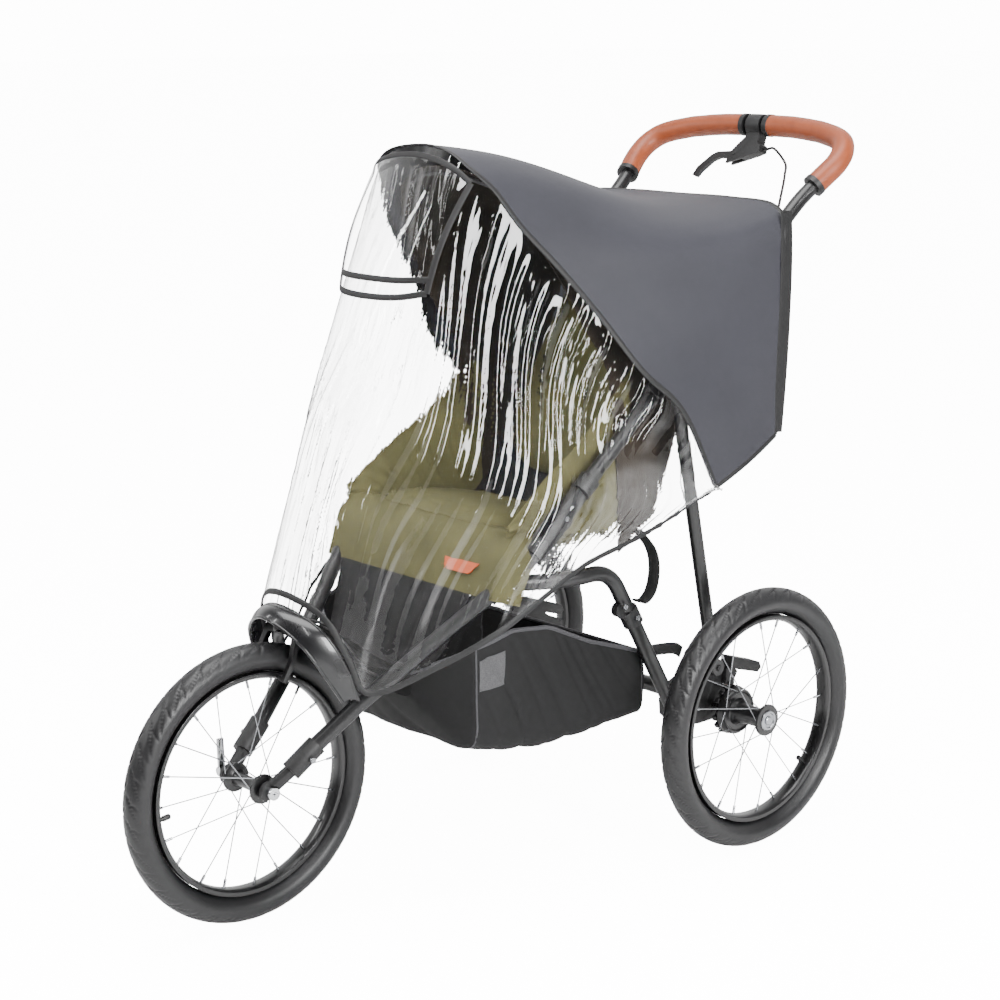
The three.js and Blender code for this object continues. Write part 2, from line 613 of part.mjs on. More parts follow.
// Brake cable: a short loop from the lever housing to the left tube, which carries it inside,
// and a second length from the fork tube to the brake arms.
const CABLE_RADIUS = 2.2;
const belowBar = (x, back, up) => v(x, bar.y + back, bar.z + up);
const upperCable = new THREE.CatmullRomCurve3([
  hanging(20 + LOOSE, 39), hanging(28, 39), hanging(40, 36), belowBar(62, -6, -56), belowBar(90, -38, -73),
  belowBar(HANDLE_HALF - 65, -90, -99), belowBar(HANDLE_HALF - 33, -137, -123),
  slope(HANDLE_HALF - TUBE_RADIUS - 4, HANDLE_REACH - 232, 0),
], false, "centripetal").getPoints(13);
piece("brake_cable_upper", cut(
  tube(upperCable, CABLE_RADIUS, 8),
  tube(handleLine, TUBE_RADIUS + GAP),
), "moulded_black");
const lowerCable = new THREE.CatmullRomCurve3([
  slope(96, 212, 8), v(82, 146, 352), v(66, 122, 392), v(48, 104, 418), v(32, 84, 424),
  aroundWheel(24, BRIDGE_AT + 7, 14),
], false, "centripetal").getPoints(8);
piece("brake_cable_lower", cut(
  tube(lowerCable, CABLE_RADIUS, 8),
  tube(forkPath(1), TUBE_RADIUS + GAP),
), "moulded_black");

// ---------------------------------------------------------------- rear frame
const LEG_BEND = [505, SEAT_TUBE_Z];                    // y, z where the leg turns down
const LEG_END = [WHEELBASE - 85, WHEEL_RADIUS + 12];    // y, z where it enters the bracket
const aroundAxle = (points) => points.map(([y, z]) => [WHEELBASE + y, WHEEL_RADIUS + z]);
for (const [place, side] of SIDES) {
  const x = side * LEG_HALF;
  const legPath = rounded([
    slope(side * (HANDLE_HALF - 47), 400), v(x, 425, SEAT_TUBE_Z), v(x, ...LEG_BEND), v(x, ...LEG_END),
  ], 45, 4);
  const leg = tube(legPath, TUBE_RADIUS);
  piece(`seat_tube_${place}`, cut(leg, tube(forkPath(side), TUBE_RADIUS + GAP)), "satin_black");

  // Clamp on the leg with the lug that the seat strap hangs from.
  const clampAt = [0, 1].map((i) => THREE.MathUtils.lerp(LEG_BEND[i], LEG_END[i], 0.325));
  const aroundClamp = (points) => points.map(([y, z]) => [clampAt[0] + y, clampAt[1] + z]);
  const besideStrut = STRUT_HALF - STRUT_RADIUS - LOOSE;
  const legRun = v(0, LEG_END[0] - LEG_BEND[0], LEG_END[1] - LEG_BEND[1]).normalize();
  piece(`leg_clamp_${place}`, cut(
    join(
      rod(
        v(x, clampAt[0], clampAt[1]).addScaledVector(legRun, -14),
        v(x, clampAt[0], clampAt[1]).addScaledVector(legRun, 14),
        TUBE_RADIUS + 4,
        14,
      ),
      disc(clampAt[0] - 23, clampAt[1] + 14, 11, x - 6, x + 6, 12),
      plate(aroundClamp([[-22, 2], [-4, -12], [7, 6], [-13, 24]]), x - 6, x + 6),
    ),
    tube(legPath, TUBE_RADIUS + GAP),
    disc(...clampAt, 40, side * besideStrut, side * (besideStrut + 20)),
  ), "moulded_black");

  // Axle bracket: takes the leg, the cross tube, the stub axle and the strut's foot.
  const bracket = plate(aroundAxle([
    [-74, -18], [-90, -2], [-92, 22], [-76, 44], [-42, 56], [-36, 84], [-22, 94], [-6, 87],
    [6, 62], [38, 48], [44, 26], [36, -4], [16, -24], [-36, -24],
  ]), side * BRACKET_INNER, side * BRACKET_OUTER);
  const inner = side * (BRACKET_INNER - 1);
  const outer = side * (BRACKET_OUTER + 1);
  const toothAngle = Math.PI / 2;
  const pinY = WHEELBASE + (RATCHET_RADIUS - TOOTH_DEPTH / 2) * Math.cos(toothAngle);
  const pinZ = WHEEL_RADIUS + (RATCHET_RADIUS - TOOTH_DEPTH / 2) * Math.sin(toothAngle);
  piece(`axle_bracket_${place}`, join(
    cut(
      bracket,
      tube(legPath, TUBE_RADIUS + GAP),
      disc(WHEELBASE, WHEEL_RADIUS, STUB_RADIUS + GAP, inner, outer),
      disc(pinY, pinZ, PIN_RADIUS + LOOSE, inner, outer, 10),
    ),
    disc(...STRUT_FOOT, 4, side * (BRACKET_OUTER - 1), side * (STRUT_HALF + STRUT_RADIUS + 2), 12),
    disc(...PEDAL_PIVOT, 4, side * (BRACKET_OUTER - 1), side * (BRACKET_OUTER + 14), 12),
  ), "moulded_black");
  const pinEnd = RING_X[0] - 1.5;
  piece(`brake_pin_${place}`, disc(pinY, pinZ, PIN_RADIUS, side * (BRACKET_INNER + 4), side * pinEnd, 10), "steel");

  // Strut with round eyes, on a shoulder bolt at the foot.
  const eye = ([y, z]) => disc(y, z, 13, side * (STRUT_HALF - STRUT_RADIUS), side * (STRUT_HALF + STRUT_RADIUS));
  const foot = v(side * STRUT_HALF, ...STRUT_FOOT);
  const head = v(side * STRUT_HALF, ...STRUT_HEAD);
  piece(`strut_${place}`, cut(
    join(rod(foot, head, STRUT_RADIUS), eye(STRUT_FOOT), eye(STRUT_HEAD)),
    disc(...STRUT_FOOT, 4 + LOOSE, side * BRACKET_OUTER, side * (STRUT_HALF + 16), 12),
  ), "satin_black");

  // Foot brake: a ridged pad on a short arm that turns beside the bracket.
  const pedalX = [side * (BRACKET_OUTER + LOOSE), side * (RING_X[0] - 2.5)];
  const pedalBore = disc(...PEDAL_PIVOT, 4 + LOOSE, side * BRACKET_OUTER, side * (STRUT_HALF + 16), 12);
  piece(`brake_pedal_${place}`, cut(
    join(
      disc(...PEDAL_PIVOT, 11, pedalX[0], side * (BRACKET_OUTER + 10)),
      plate(aroundAxle([[15, 32], [33, 32], [42, 46], [26, 62], [16, 56]]), pedalX[0], side * (BRACKET_OUTER + 10)),
      plate(aroundAxle([[10, 62], [14, 78], [74, 58], [78, 48], [70, 42], [24, 56]]), pedalX[0], pedalX[1]),
    ),
    pedalBore,
  ), "moulded_black");
}
piece("rear_axle", join(
  disc(WHEELBASE, WHEEL_RADIUS, 12, -BRACKET_INNER + GAP, BRACKET_INNER - GAP),
  disc(WHEELBASE, WHEEL_RADIUS, STUB_RADIUS, -STUB_END, STUB_END),
), "satin_black");

// ---------------------------------------------------------------- footwell, seat and basket
const bumperFront = arch([[94, 96, 320], [86, 80, 348], [60, 52, 402], [0, 34, 432]]);
const bumperBack = arch([[102, 117, 320], [96, 104, 364], [70, 80, 418], [0, 62, 444]]);
piece("toe_bumper", sheet(
  (u, w) => bumperFront(w).lerp(bumperBack(w), u),
  1,
  12,
  3,
  v(0, 120, 330),
), "moulded_black");

const footLine = [
  [88, 446, 44], [130, 420, 52], [205, 345, HANDLE_HALF - 109], [240, 352, HANDLE_HALF - 93], [284, 440, HANDLE_HALF - 67],
];
piece("footwell", sheet(
  (u, w) => {
    const place = u * (footLine.length - 1);
    const i = Math.min(Math.floor(place), footLine.length - 2);
    const mix = (k) => THREE.MathUtils.lerp(footLine[i][k], footLine[i + 1][k], place - i);
    return v((1 - 2 * w) * mix(2), mix(0), mix(1));
  },
  footLine.length - 1,
  2,
  3,
  v(0, 200, 600),
), "black_cloth");

const SEAT_FRONT = 300;
const BIGHT_Y = 545;
piece("seat_cushion", cut(
  plate(
    [[SEAT_FRONT, 470], [330, 532], [346, 540], [372, 536], [BIGHT_Y, 499], [BIGHT_Y, 470]],
    -SEAT_HALF,
    SEAT_HALF,
  ),
  ...SIDES.map(([, side]) => tube(forkPath(side), TUBE_RADIUS + 3)),
), "olive");
const HINGE_ROD = [565, 502];
piece("seat_hinge_rod", disc(...HINGE_ROD, 5, -150, 150, 12), "steel");

const BACK_LENGTH = 0.54 * (HANDLE_REACH - HINGE_AT);
const BACK_RISE = THREE.MathUtils.degToRad(57);
const backAlong = v(0, Math.cos(BACK_RISE), Math.sin(BACK_RISE));
const backOut = v(0, -Math.sin(BACK_RISE), Math.cos(BACK_RISE));
piece("seat_back", slab(
  [[-BACK_HALF, 55], [BACK_HALF, 55], [BACK_HALF, BACK_LENGTH - 38], [BACK_HALF - 22, BACK_LENGTH],
    [-BACK_HALF + 22, BACK_LENGTH], [-BACK_HALF, BACK_LENGTH - 38]],
  v(0, ...HINGE_ROD),
  v(1, 0, 0),
  backAlong,
  -26,
  4,
), "olive");

// Basket: the outline seen from the side, cut to the outline seen from above, and hollowed.
function basketBody(inset, lift) {
  const side = [
    [222 + inset, 296 + inset], [222 + inset, 330 + lift], [262, 378 + lift], [330, 394 + lift],
    [400, 386 + lift], [480, 346 + lift], [592 - inset, 306 + lift], [592 - inset, 206 + inset],
    [426, 199 + inset], [264, 230 + inset],
  ];
  const half = BASKET_HALF - inset;
  const plan = [
    [-84, 216 + inset], [84, 216 + inset], [half, 266 + inset], [half, 600], [-half, 600], [-half, 266 + inset],
  ];
  const above = slab(plan, v(0, 0, 0), v(1, 0, 0), v(0, 1, 0), 100, 700);
  return plate(side, -BASKET_HALF, BASKET_HALF).intersect(above);
}
piece("basket", cut(basketBody(0, 0), basketBody(BASKET_WALL, 60)), "black_cloth");

// ---------------------------------------------------------------- hood
const bowPivot = slope(0, HANDLE_REACH - 457);
const BOW_PIVOT = [Math.round(bowPivot.y), Math.round(bowPivot.z)];
const BOW_TOP = [368, 1020];
const HUB_RADIUS = 15;
for (const [place, side] of SIDES) {
  const hubX = [side * (BOW_HALF + 3), side * (HANDLE_HALF - TUBE_RADIUS - LOOSE)];
  piece(`hood_hub_${place}`, disc(...BOW_PIVOT, HUB_RADIUS, hubX[0], hubX[1]), "moulded_black");
}
const bowReach = Math.hypot(BOW_TOP[0] - BOW_PIVOT[0], BOW_TOP[1] - BOW_PIVOT[1]);
const bowDir = v(0, BOW_TOP[0] - BOW_PIVOT[0], BOW_TOP[1] - BOW_PIVOT[1]).normalize();
const onBow = (x, r) => v(x, ...BOW_PIVOT).addScaledVector(bowDir, r);
const bowHalfLine = [[1, 0], [1, 0.42], [0.92, 0.62], [0.79, 0.79], [0.58, 0.91], [0.3, 0.98], [0, 1]];
const bowLine = [
  ...bowHalfLine.map(([x, r]) => onBow(x * BOW_HALF, r * bowReach)),
  ...bowHalfLine.slice(0, -1).reverse().map(([x, r]) => onBow(-x * BOW_HALF, r * bowReach)),
];
piece("hood_bow", tube(bowLine, 2.8, 6), "moulded_black");

const bowBehind = v(0, bowDir.z, -bowDir.y).multiplyScalar(9);
const hoodFront = arch([
  [1, 0.3], [0.98, 0.46], [0.92, 0.62], [0.79, 0.79], [0.58, 0.91], [0.3, 0.98], [0, 1],
].map(([x, r]) => onBow(x * BOW_HALF, r * bowReach).add(bowBehind).toArray()));
const hoodBack = arch([
  [BOW_HALF, 706, 806], [BOW_HALF, 760, 850], [BOW_HALF - 4, 800, 888], [BOW_HALF - 36, 812, 912],
  [70, 816, 918], [0, 816, 918],
]);
piece("hood_fabric", sheet(
  (u, w) => hoodFront(w).lerp(hoodBack(w), u),
  4,
  12,
  COVER_WALL,
  v(0, 640, 760),
), "lining");

// ---------------------------------------------------------------- rain cover
// Three lines carry it: the seam between vinyl and cloth, the rear edge, and the front hem.
const seam = arch([
  [COVER_HALF, 684, 555], [COVER_HALF + 1, 606, 683], [232, 541, 743], [198, 489, 823], [173, 436, 892],
  [146, 385, 955], [121, 357, 1006], [98, 335, 1034], [66, 330, 1053], [0, 337, 1062],
]);
const rearEdge = arch([
  [COVER_HALF - 4, 820, 615], [COVER_HALF - 6, 828, 740], [COVER_HALF - 9, 838, 870], [226, 845, 938],
  [198, 852, 957], [110, 856, 963], [0, 857, 963],
]);
const hem = arch([
  [COVER_HALF - 1, 680, 552], [239, 613, 528], [232, 539, 503], [224, 429, 466], [219, 361, 429],
  [198, 288, 394], [158, 214, 358], [112, 124, 330], [98, 106, 376], [72, 84, 436], [0, 64, 462],
]);
const SAG = 12;
const CLOTH_SPREAD = 0.02;         // sideways, as a share of the width
const SEAM_GAP = 0.02;             // share of each panel left free along the seam
const cloth = (u, w) => {
  const point = seam(w).lerp(rearEdge(w), u);
  const crown = Math.sin(Math.PI * w) ** 3;
  point.z += SAG * crown * (Math.sin(2 * Math.PI * u) - Math.sin(Math.PI * u));
  point.x *= 1 + CLOTH_SPREAD * Math.sin(Math.PI * u);
  return point;
};
piece("rain_cover_cloth", sheet(
  (u, w) => cloth(SEAM_GAP + u * (1 - SEAM_GAP), w),
  5,
  14,
  COVER_WALL,
  v(0, 640, 700),
), "charcoal");
const VINYL_BULGE = 8;             // forwards
const VINYL_SPREAD = 0.07;         // sideways, as a share of the width
const vinyl = (u, w) => {
  const point = seam(w).lerp(hem(w), u);
  point.y -= VINYL_BULGE * Math.sin(Math.PI * u) * Math.sin(Math.PI * w);
  point.x *= 1 + VINYL_SPREAD * Math.sin(Math.PI * u);
  return point;
};
piece("rain_cover_window", sheet(
  (u, w) => vinyl(SEAM_GAP + u * (1 - SEAM_GAP), 0.05 + w * 0.9),
  6,
  14,
  COVER_WALL,
  v(0, 500, 700),
), "clear_vinyl");

// Window flap: a clear visor that stands off the vinyl below the arch.
const flapTop = arch([[110, 334, 1010], [78, 323, 1036], [0, 322, 1048]]);
const flapBottom = arch([[98, 262, 872], [60, 244, 866], [0, 238, 866]]);
piece("window_flap", sheet(
  (u, w) => {
    const point = flapTop(w).lerp(flapBottom(w), u);
    return point.add(v(0, -14 - 10 * Math.sin(Math.PI * u), 0));
  },
  3,
  8,
  2,
  v(0, 500, 900),
), "clear_vinyl");

// ---------------------------------------------------------------- origin
// The origin is the middle of the footprint, on the ground.
const box = new THREE.Box3().setFromObject(stroller);
stroller.position.set(0, -(box.min.y + box.max.y) / 2, -box.min.z);
stroller.updateMatrixWorld(true);

export default stroller;
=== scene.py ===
"""Looks of a three-wheel jogging stroller with its rain cover fitted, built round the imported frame.

Lengths in the sections are millimetres from the ground under the front axle, in the row frame's
directions: +X the stroller's left, +Y backwards, +Z up. at() and slope() turn them into metres.
"""
import json
import math

import bmesh
import bpy
import numpy as np
from mathutils import Matrix, Vector


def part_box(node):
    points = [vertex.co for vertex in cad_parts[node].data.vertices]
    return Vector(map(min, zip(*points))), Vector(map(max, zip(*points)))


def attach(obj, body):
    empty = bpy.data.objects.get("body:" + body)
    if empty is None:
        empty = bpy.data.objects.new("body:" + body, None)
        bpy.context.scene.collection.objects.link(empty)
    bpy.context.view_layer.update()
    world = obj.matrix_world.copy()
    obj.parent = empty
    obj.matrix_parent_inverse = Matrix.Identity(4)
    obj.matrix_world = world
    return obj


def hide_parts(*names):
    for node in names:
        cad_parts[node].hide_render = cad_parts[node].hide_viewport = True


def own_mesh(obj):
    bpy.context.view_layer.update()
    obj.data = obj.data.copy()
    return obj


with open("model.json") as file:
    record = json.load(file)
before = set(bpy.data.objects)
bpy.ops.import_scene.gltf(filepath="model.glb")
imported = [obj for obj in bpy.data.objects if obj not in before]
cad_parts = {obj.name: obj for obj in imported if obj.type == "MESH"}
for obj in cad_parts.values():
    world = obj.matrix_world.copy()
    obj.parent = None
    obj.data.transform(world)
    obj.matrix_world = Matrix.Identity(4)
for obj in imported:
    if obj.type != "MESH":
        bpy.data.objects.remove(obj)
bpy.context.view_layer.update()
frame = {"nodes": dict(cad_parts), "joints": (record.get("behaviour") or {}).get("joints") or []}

# ---------------------------------------------------------------- camera and studio
# A long lens at chest height and a wide pale floor. One softbox above and five upright strips, whose
# reflections draw the creases of the clear sheet. Floor and surroundings look white from the camera,
# directly or through the clear sheet, and are weaker for every other ray.
MM = 0.001
JOINTS = {joint["name"]: joint for joint in frame["joints"]}
tyre_low, tyre_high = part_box("tyre_front")
AXLE_Y = (tyre_low.y + tyre_high.y) / 2
WHEEL_RADIUS = (tyre_high.z - tyre_low.z) / 2 / MM
CAMERA_AT = (2.2916, AXLE_Y - 1.5723, 1.2337)
CAMERA_TARGET = (0.0, AXLE_Y + 0.4728, 0.5284)
CAMERA_ROLL = math.radians(-0.5)
LENS_MM = 75.5


def stage_object(name, data):
    piece = bpy.data.objects.new(name, data)
    bpy.context.scene.collection.objects.link(piece)
    return piece


camera = stage_object("camera", bpy.data.cameras.new("camera"))
camera.data.lens = LENS_MM
camera.data.sensor_width = 36
camera.data.clip_end = 200
camera.location = CAMERA_AT
view_line = Vector(CAMERA_TARGET) - Vector(CAMERA_AT)
camera.rotation_euler = (
    view_line.to_track_quat("-Z", "Y").to_matrix() @ Matrix.Rotation(CAMERA_ROLL, 3, "Z")
).to_euler()
bpy.context.scene.camera = camera

BACKDROP = 14.0


def straight_view(nodes, links):
    """1 for a ray that comes from the camera directly or only through clear material, else 0."""
    ray = nodes.new("ShaderNodeLightPath")
    bounces, unbounced, through, seen = (nodes.new("ShaderNodeMath") for _ in range(4))
    bounces.operation = "ADD"
    links.new(ray.outputs["Diffuse Depth"], bounces.inputs[0])
    links.new(ray.outputs["Glossy Depth"], bounces.inputs[1])
    unbounced.operation = "LESS_THAN"
    unbounced.inputs[1].default_value = 0.5
    links.new(bounces.outputs["Value"], unbounced.inputs[0])
    through.operation = "MULTIPLY"
    links.new(ray.outputs["Is Transmission Ray"], through.inputs[0])
    links.new(unbounced.outputs["Value"], through.inputs[1])
    seen.operation = "MAXIMUM"
    links.new(ray.outputs["Is Camera Ray"], seen.inputs[0])
    links.new(through.outputs["Value"], seen.inputs[1])
    return seen.outputs["Value"]



world = bpy.data.worlds.new("surroundings")
world.use_nodes = True
sky, sky_links = world.node_tree.nodes, world.node_tree.links
sky["Background"].inputs["Color"].default_value = (1, 1, 1, 1)
direction, facing, brightness = (
    sky.new(kind) for kind in ("ShaderNodeTexCoord", "ShaderNodeVectorMath", "ShaderNodeMapRange")
)
facing.operation = "DOT_PRODUCT"
facing.inputs[1].default_value = view_line.normalized()
sky_links.new(direction.outputs["Generated"], facing.inputs[0])
sky_links.new(facing.outputs["Value"], brightness.inputs["Value"])
for label, value in (("From Min", -0.1), ("From Max", 0.6), ("To Min", 0.10), ("To Max", 1.7)):
    brightness.inputs[label].default_value = value
backdrop = sky.new("ShaderNodeMix")
sky_links.new(straight_view(sky, sky_links), backdrop.inputs["Factor"])
sky_links.new(brightness.outputs["Result"], backdrop.inputs["A"])
backdrop.inputs["B"].default_value = BACKDROP
sky_links.new(backdrop.outputs["Result"], sky["Background"].inputs["Strength"])
bpy.context.scene.world = world

# name, place, size, watts: each faces the middle of the stroller
SOFTBOXES = (
    ("softbox_top", (0.2, -0.2, 3.6), (2.6, 2.0), 150),
    ("strip_left", (3.0, -0.5, 1.6), (0.5, 1.7), 120),
    ("strip_left_back", (2.8, 0.9, 1.9), (0.12, 1.7), 30),
    ("strip_front", (-0.5, -2.9, 2.4), (0.12, 1.7), 32),
    ("strip_far", (-1.9, -2.3, 2.3), (0.12, 1.7), 30),
    ("strip_high", (1.6, -1.6, 3.0), (0.12, 1.7), 24),
)
for name, place, size, watts in SOFTBOXES:
    light = stage_object(name, bpy.data.lights.new(name, "AREA"))
    light.data.shape = "RECTANGLE"
    light.data.size, light.data.size_y = size
    light.data.energy = watts
    light.location = place
    light.rotation_euler = (Vector((0, 0, 0.5)) - Vector(place)).to_track_quat("-Z", "Y").to_euler()

floor_mesh = bpy.data.meshes.new("floor")
floor_mesh.from_pydata([(-60, -60, 0), (60, -60, 0), (60, 60, 0), (-60, 60, 0)], [], [(0, 1, 2, 3)])
stage_object("floor", floor_mesh)
FLOOR_GLOW = 13.0
floor_paint = bpy.data.materials.new("floor")
floor_paint.use_nodes = True
floor_shader = floor_paint.node_tree.nodes["Principled BSDF"]
floor_shader.inputs["Base Color"].default_value = (0.96, 0.96, 0.96, 1)
floor_shader.inputs["Roughness"].default_value = 0.9
floor_shader.inputs["Specular IOR Level"].default_value = 0.1
floor_shader.inputs["Emission Color"].default_value = (1, 1, 1, 1)
floor_glow = floor_paint.node_tree.nodes.new("ShaderNodeMath")
floor_glow.operation = "MULTIPLY"
floor_glow.inputs[1].default_value = FLOOR_GLOW
floor_paint.node_tree.links.new(
    straight_view(floor_paint.node_tree.nodes, floor_paint.node_tree.links), floor_glow.inputs[0]
)
floor_paint.node_tree.links.new(floor_glow.outputs["Value"], floor_shader.inputs["Emission Strength"])
floor_mesh.materials.append(floor_paint)

# ---------------------------------------------------------------- tyres
# Round-shouldered tyres with crescent grooves that lean alternately from the middle to each side.
HALF_TYRE = (tyre_high.x - tyre_low.x) / 2 / MM
TYRE_DEPTH = 40
TREAD_REPEATS = 36
GROOVE_DEPTH = 2.6
GROOVE_WIDTH = 2.0
WHEELS = {}
for place, body in (("front", "front_wheel"), ("left", "rear_wheel_left"), ("right", "rear_wheel_right")):
    low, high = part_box(f"tyre_{place}")
    WHEELS[place] = {"body": body, "centre": np.array((low + high) / 2)}


def surface_group():
    """Node group: a colour that wanders a little, a roughness that follows it, and a fine grain."""
    group = bpy.data.node_groups.new("surface", "ShaderNodeTree")
    for label, kind, value in (
        ("Color", "NodeSocketColor", (0.5, 0.5, 0.5, 1)), ("Shade", "NodeSocketFloat", 0.8),
        ("Patch Scale", "NodeSocketFloat", 9), ("Roughness", "NodeSocketFloat", 0.5),
        ("Spread", "NodeSocketFloat", 0.1), ("Grain Scale", "NodeSocketFloat", 900),
    ):
        group.interface.new_socket(label, in_out="INPUT", socket_type=kind).default_value = value
    for label, kind in (
        ("Color", "NodeSocketColor"), ("Roughness", "NodeSocketFloat"), ("Height", "NodeSocketFloat"),
    ):
        group.interface.new_socket(label, in_out="OUTPUT", socket_type=kind)
    nodes, links = group.nodes, group.links
    given, result = nodes.new("NodeGroupInput"), nodes.new("NodeGroupOutput")
    place = nodes.new("ShaderNodeTexCoord")
    patches, grain = nodes.new("ShaderNodeTexNoise"), nodes.new("ShaderNodeTexNoise")
    patches.inputs["Detail"].default_value = 5
    grain.inputs["Detail"].default_value = 2
    darker, mix = nodes.new("ShaderNodeMix"), nodes.new("ShaderNodeMapRange")
    darker.data_type = "RGBA"
    darker.blend_type = "MULTIPLY"
    grey = nodes.new("ShaderNodeCombineColor")
    shade = nodes.new("ShaderNodeMapRange")
    for noise, scale in ((patches, "Patch Scale"), (grain, "Grain Scale")):
        links.new(place.outputs["Object"], noise.inputs["Vector"])
        links.new(given.outputs[scale], noise.inputs["Scale"])
    shade.inputs["From Min"].default_value = 0.35
    shade.inputs["From Max"].default_value = 0.65
    links.new(patches.outputs["Fac"], shade.inputs["Value"])
    links.new(given.outputs["Shade"], shade.inputs["To Min"])
    shade.inputs["To Max"].default_value = 1
    for channel in ("Red", "Green", "Blue"):
        links.new(shade.outputs["Result"], grey.inputs[channel])
    darker.inputs["Factor"].default_value = 1
    links.new(given.outputs["Color"], darker.inputs["A"])
    links.new(grey.outputs["Color"], darker.inputs["B"])
    links.new(darker.outputs["Result"], result.inputs["Color"])
    offset, rough = nodes.new("ShaderNodeMath"), nodes.new("ShaderNodeMath")
    offset.operation = "MULTIPLY_ADD"
    offset.inputs[2].default_value = 0
    mix.inputs["To Min"].default_value = -0.5
    mix.inputs["To Max"].default_value = 0.5
    links.new(patches.outputs["Fac"], mix.inputs["Value"])
    links.new(mix.outputs["Result"], offset.inputs[0])
    links.new(given.outputs["Spread"], offset.inputs[1])
    links.new(offset.outputs[0], rough.inputs[0])
    links.new(given.outputs["Roughness"], rough.inputs[1])
    links.new(rough.outputs[0], result.inputs["Roughness"])
    links.new(grain.outputs["Fac"], result.inputs["Height"])
    return group


SURFACE = surface_group()


def paint(name, color, roughness, spread=0.1, shade=0.8, patch=9, grain=900, bump=0.1, **fixed):
    """A material: the surface group into a Principled shader, and fixed values on its own sockets."""
    material = bpy.data.materials.new(name)
    material.use_nodes = True
    nodes, links = material.node_tree.nodes, material.node_tree.links
    shader = nodes["Principled BSDF"]
    group, bumps = nodes.new("ShaderNodeGroup"), nodes.new("ShaderNodeBump")
    group.node_tree = SURFACE
    group.inputs["Color"].default_value = (*color, 1)
    for label, value in (
        ("Shade", shade), ("Patch Scale", patch), (
            "Roughness", roughness,
        ), ("Spread", spread), ("Grain Scale", grain),
    ):
        group.inputs[label].default_value = value
    bumps.inputs["Strength"].default_value = bump
    bumps.inputs["Distance"].default_value = 0.0004
    links.new(group.outputs["Color"], shader.inputs["Base Color"])
    links.new(group.outputs["Roughness"], shader.inputs["Roughness"])
    links.new(group.outputs["Height"], bumps.inputs["Height"])
    links.new(bumps.outputs["Normal"], shader.inputs["Normal"])
    for label, value in fixed.items():
        shader.inputs[label.replace("_", " ")].default_value = value
    return material


def grid_faces(rows, columns, wrap_rows=False, wrap_columns=False):
    """Quads of a grid of points stored row by row, closed round in either direction if asked."""
    i = np.arange(rows if wrap_rows else rows - 1)[:, None]
    j = np.arange(columns if wrap_columns else columns - 1)[None, :]
    ahead, right = (i + 1) % rows, (j + 1) % columns
    return np.stack(
        [i * columns + j, i * columns + right, ahead * columns + right, ahead * columns + j], -1,
    ).reshape(-1, 4).tolist()


def build(name, parts, material, body, sharp=40):
    """One object out of (points, faces) parts, facing outwards, with edges sharper than an angle kept."""
    points, faces = [], []
    for part_points, part_faces in parts:
        start = sum(len(done) for done in points)
        points.append(np.asarray(part_points, float).reshape(-1, 3))
        faces += [[start + corner for corner in face] for face in part_faces]
    mesh = bpy.data.meshes.new(name)
    mesh.from_pydata(np.concatenate(points).tolist(), [], faces)
    work = bmesh.new()
    work.from_mesh(mesh)
    bmesh.ops.recalc_face_normals(work, faces=work.faces)
    work.to_mesh(mesh)
    work.free()
    mesh.shade_smooth()
    mesh.set_sharp_from_angle(angle=math.radians(sharp))
    mesh.materials.append(material)
    piece = bpy.data.objects.new(name, mesh)
    bpy.context.scene.collection.objects.link(piece)
    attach(piece, body)
    return piece


def turned(profile, centre, steps):
    """A closed loop of (radius, x) points in millimetres turned about the X axis through a centre."""
    profile = np.asarray(profile, float)
    angle = np.linspace(0, 2 * np.pi, steps, endpoint=False)[:, None]
    points = np.stack([
        np.broadcast_to(profile[None, :, 1], (steps, len(profile))),
        profile[None, :, 0] * np.cos(angle),
        profile[None, :, 0] * np.sin(angle),
    ], -1) * MM + centre
    return points, grid_faces(steps, len(profile), True, True)


def tyre_part(centre, steps=900, around=60):
    """The section is an ellipse that narrows to the bead; grooves are narrow dips along curved lines."""
    turn = np.linspace(0, 2 * np.pi, steps, endpoint=False)[:, None]
    section = np.linspace(0, 2 * np.pi, around, endpoint=False)[None, :]
    across, height = np.cos(section), np.sin(section)
    half = TYRE_DEPTH / 2
    lean = np.where(across > 0, 0.0, 0.5)
    line = turn / (2 * np.pi) * TREAD_REPEATS + lean - 1.5 * np.abs(across) ** 1.4
    pitch = 2 * np.pi * WHEEL_RADIUS / TREAD_REPEATS
    long_groove = np.exp(-(((line + 0.5) % 1 - 0.5) * pitch / GROOVE_WIDTH) ** 2)
    short_groove = np.exp(-(((line + 0.1 + 1.2 * np.abs(across)) % 1 - 0.5) * pitch / GROOVE_WIDTH) ** 2)
    on_tread = np.clip((height - 0.12) / 0.2, 0, 1) * np.clip(np.abs(across) / 0.2, 0, 1)
    on_shoulder = np.clip((height - 0.2) / 0.2, 0, 1) * np.clip((np.abs(across) - 0.4) / 0.15, 0, 1)
    dip = GROOVE_DEPTH * np.maximum(long_groove * on_tread, 0.8 * short_groove * on_shoulder)
    narrow = 1 - 0.36 * np.clip(-height, 0, 1) ** 2
    ridge = 0.5 * np.exp(-((height + 0.45) / 0.05) ** 2)
    wide = HALF_TYRE * across * narrow + np.sign(across) * ridge
    radius = WHEEL_RADIUS - half + half * height - dip * height
    points = np.stack([
        np.broadcast_to(wide, radius.shape), radius * np.cos(turn), radius * np.sin(turn),
    ], -1) * MM + centre
    return points, grid_faces(steps, around, True, True)


rubber = paint(
    "tyre_rubber", (0.011, 0.011, 0.012), 0.42, spread=0.25, shade=0.75, patch=14, grain=1500, bump=0.15,
)
for place, wheel in WHEELS.items():
    tyre = build(f"tyre_{place}_tread", [tyre_part(wheel["centre"])], rubber, wheel["body"], sharp=80)
    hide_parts(f"tyre_{place}")

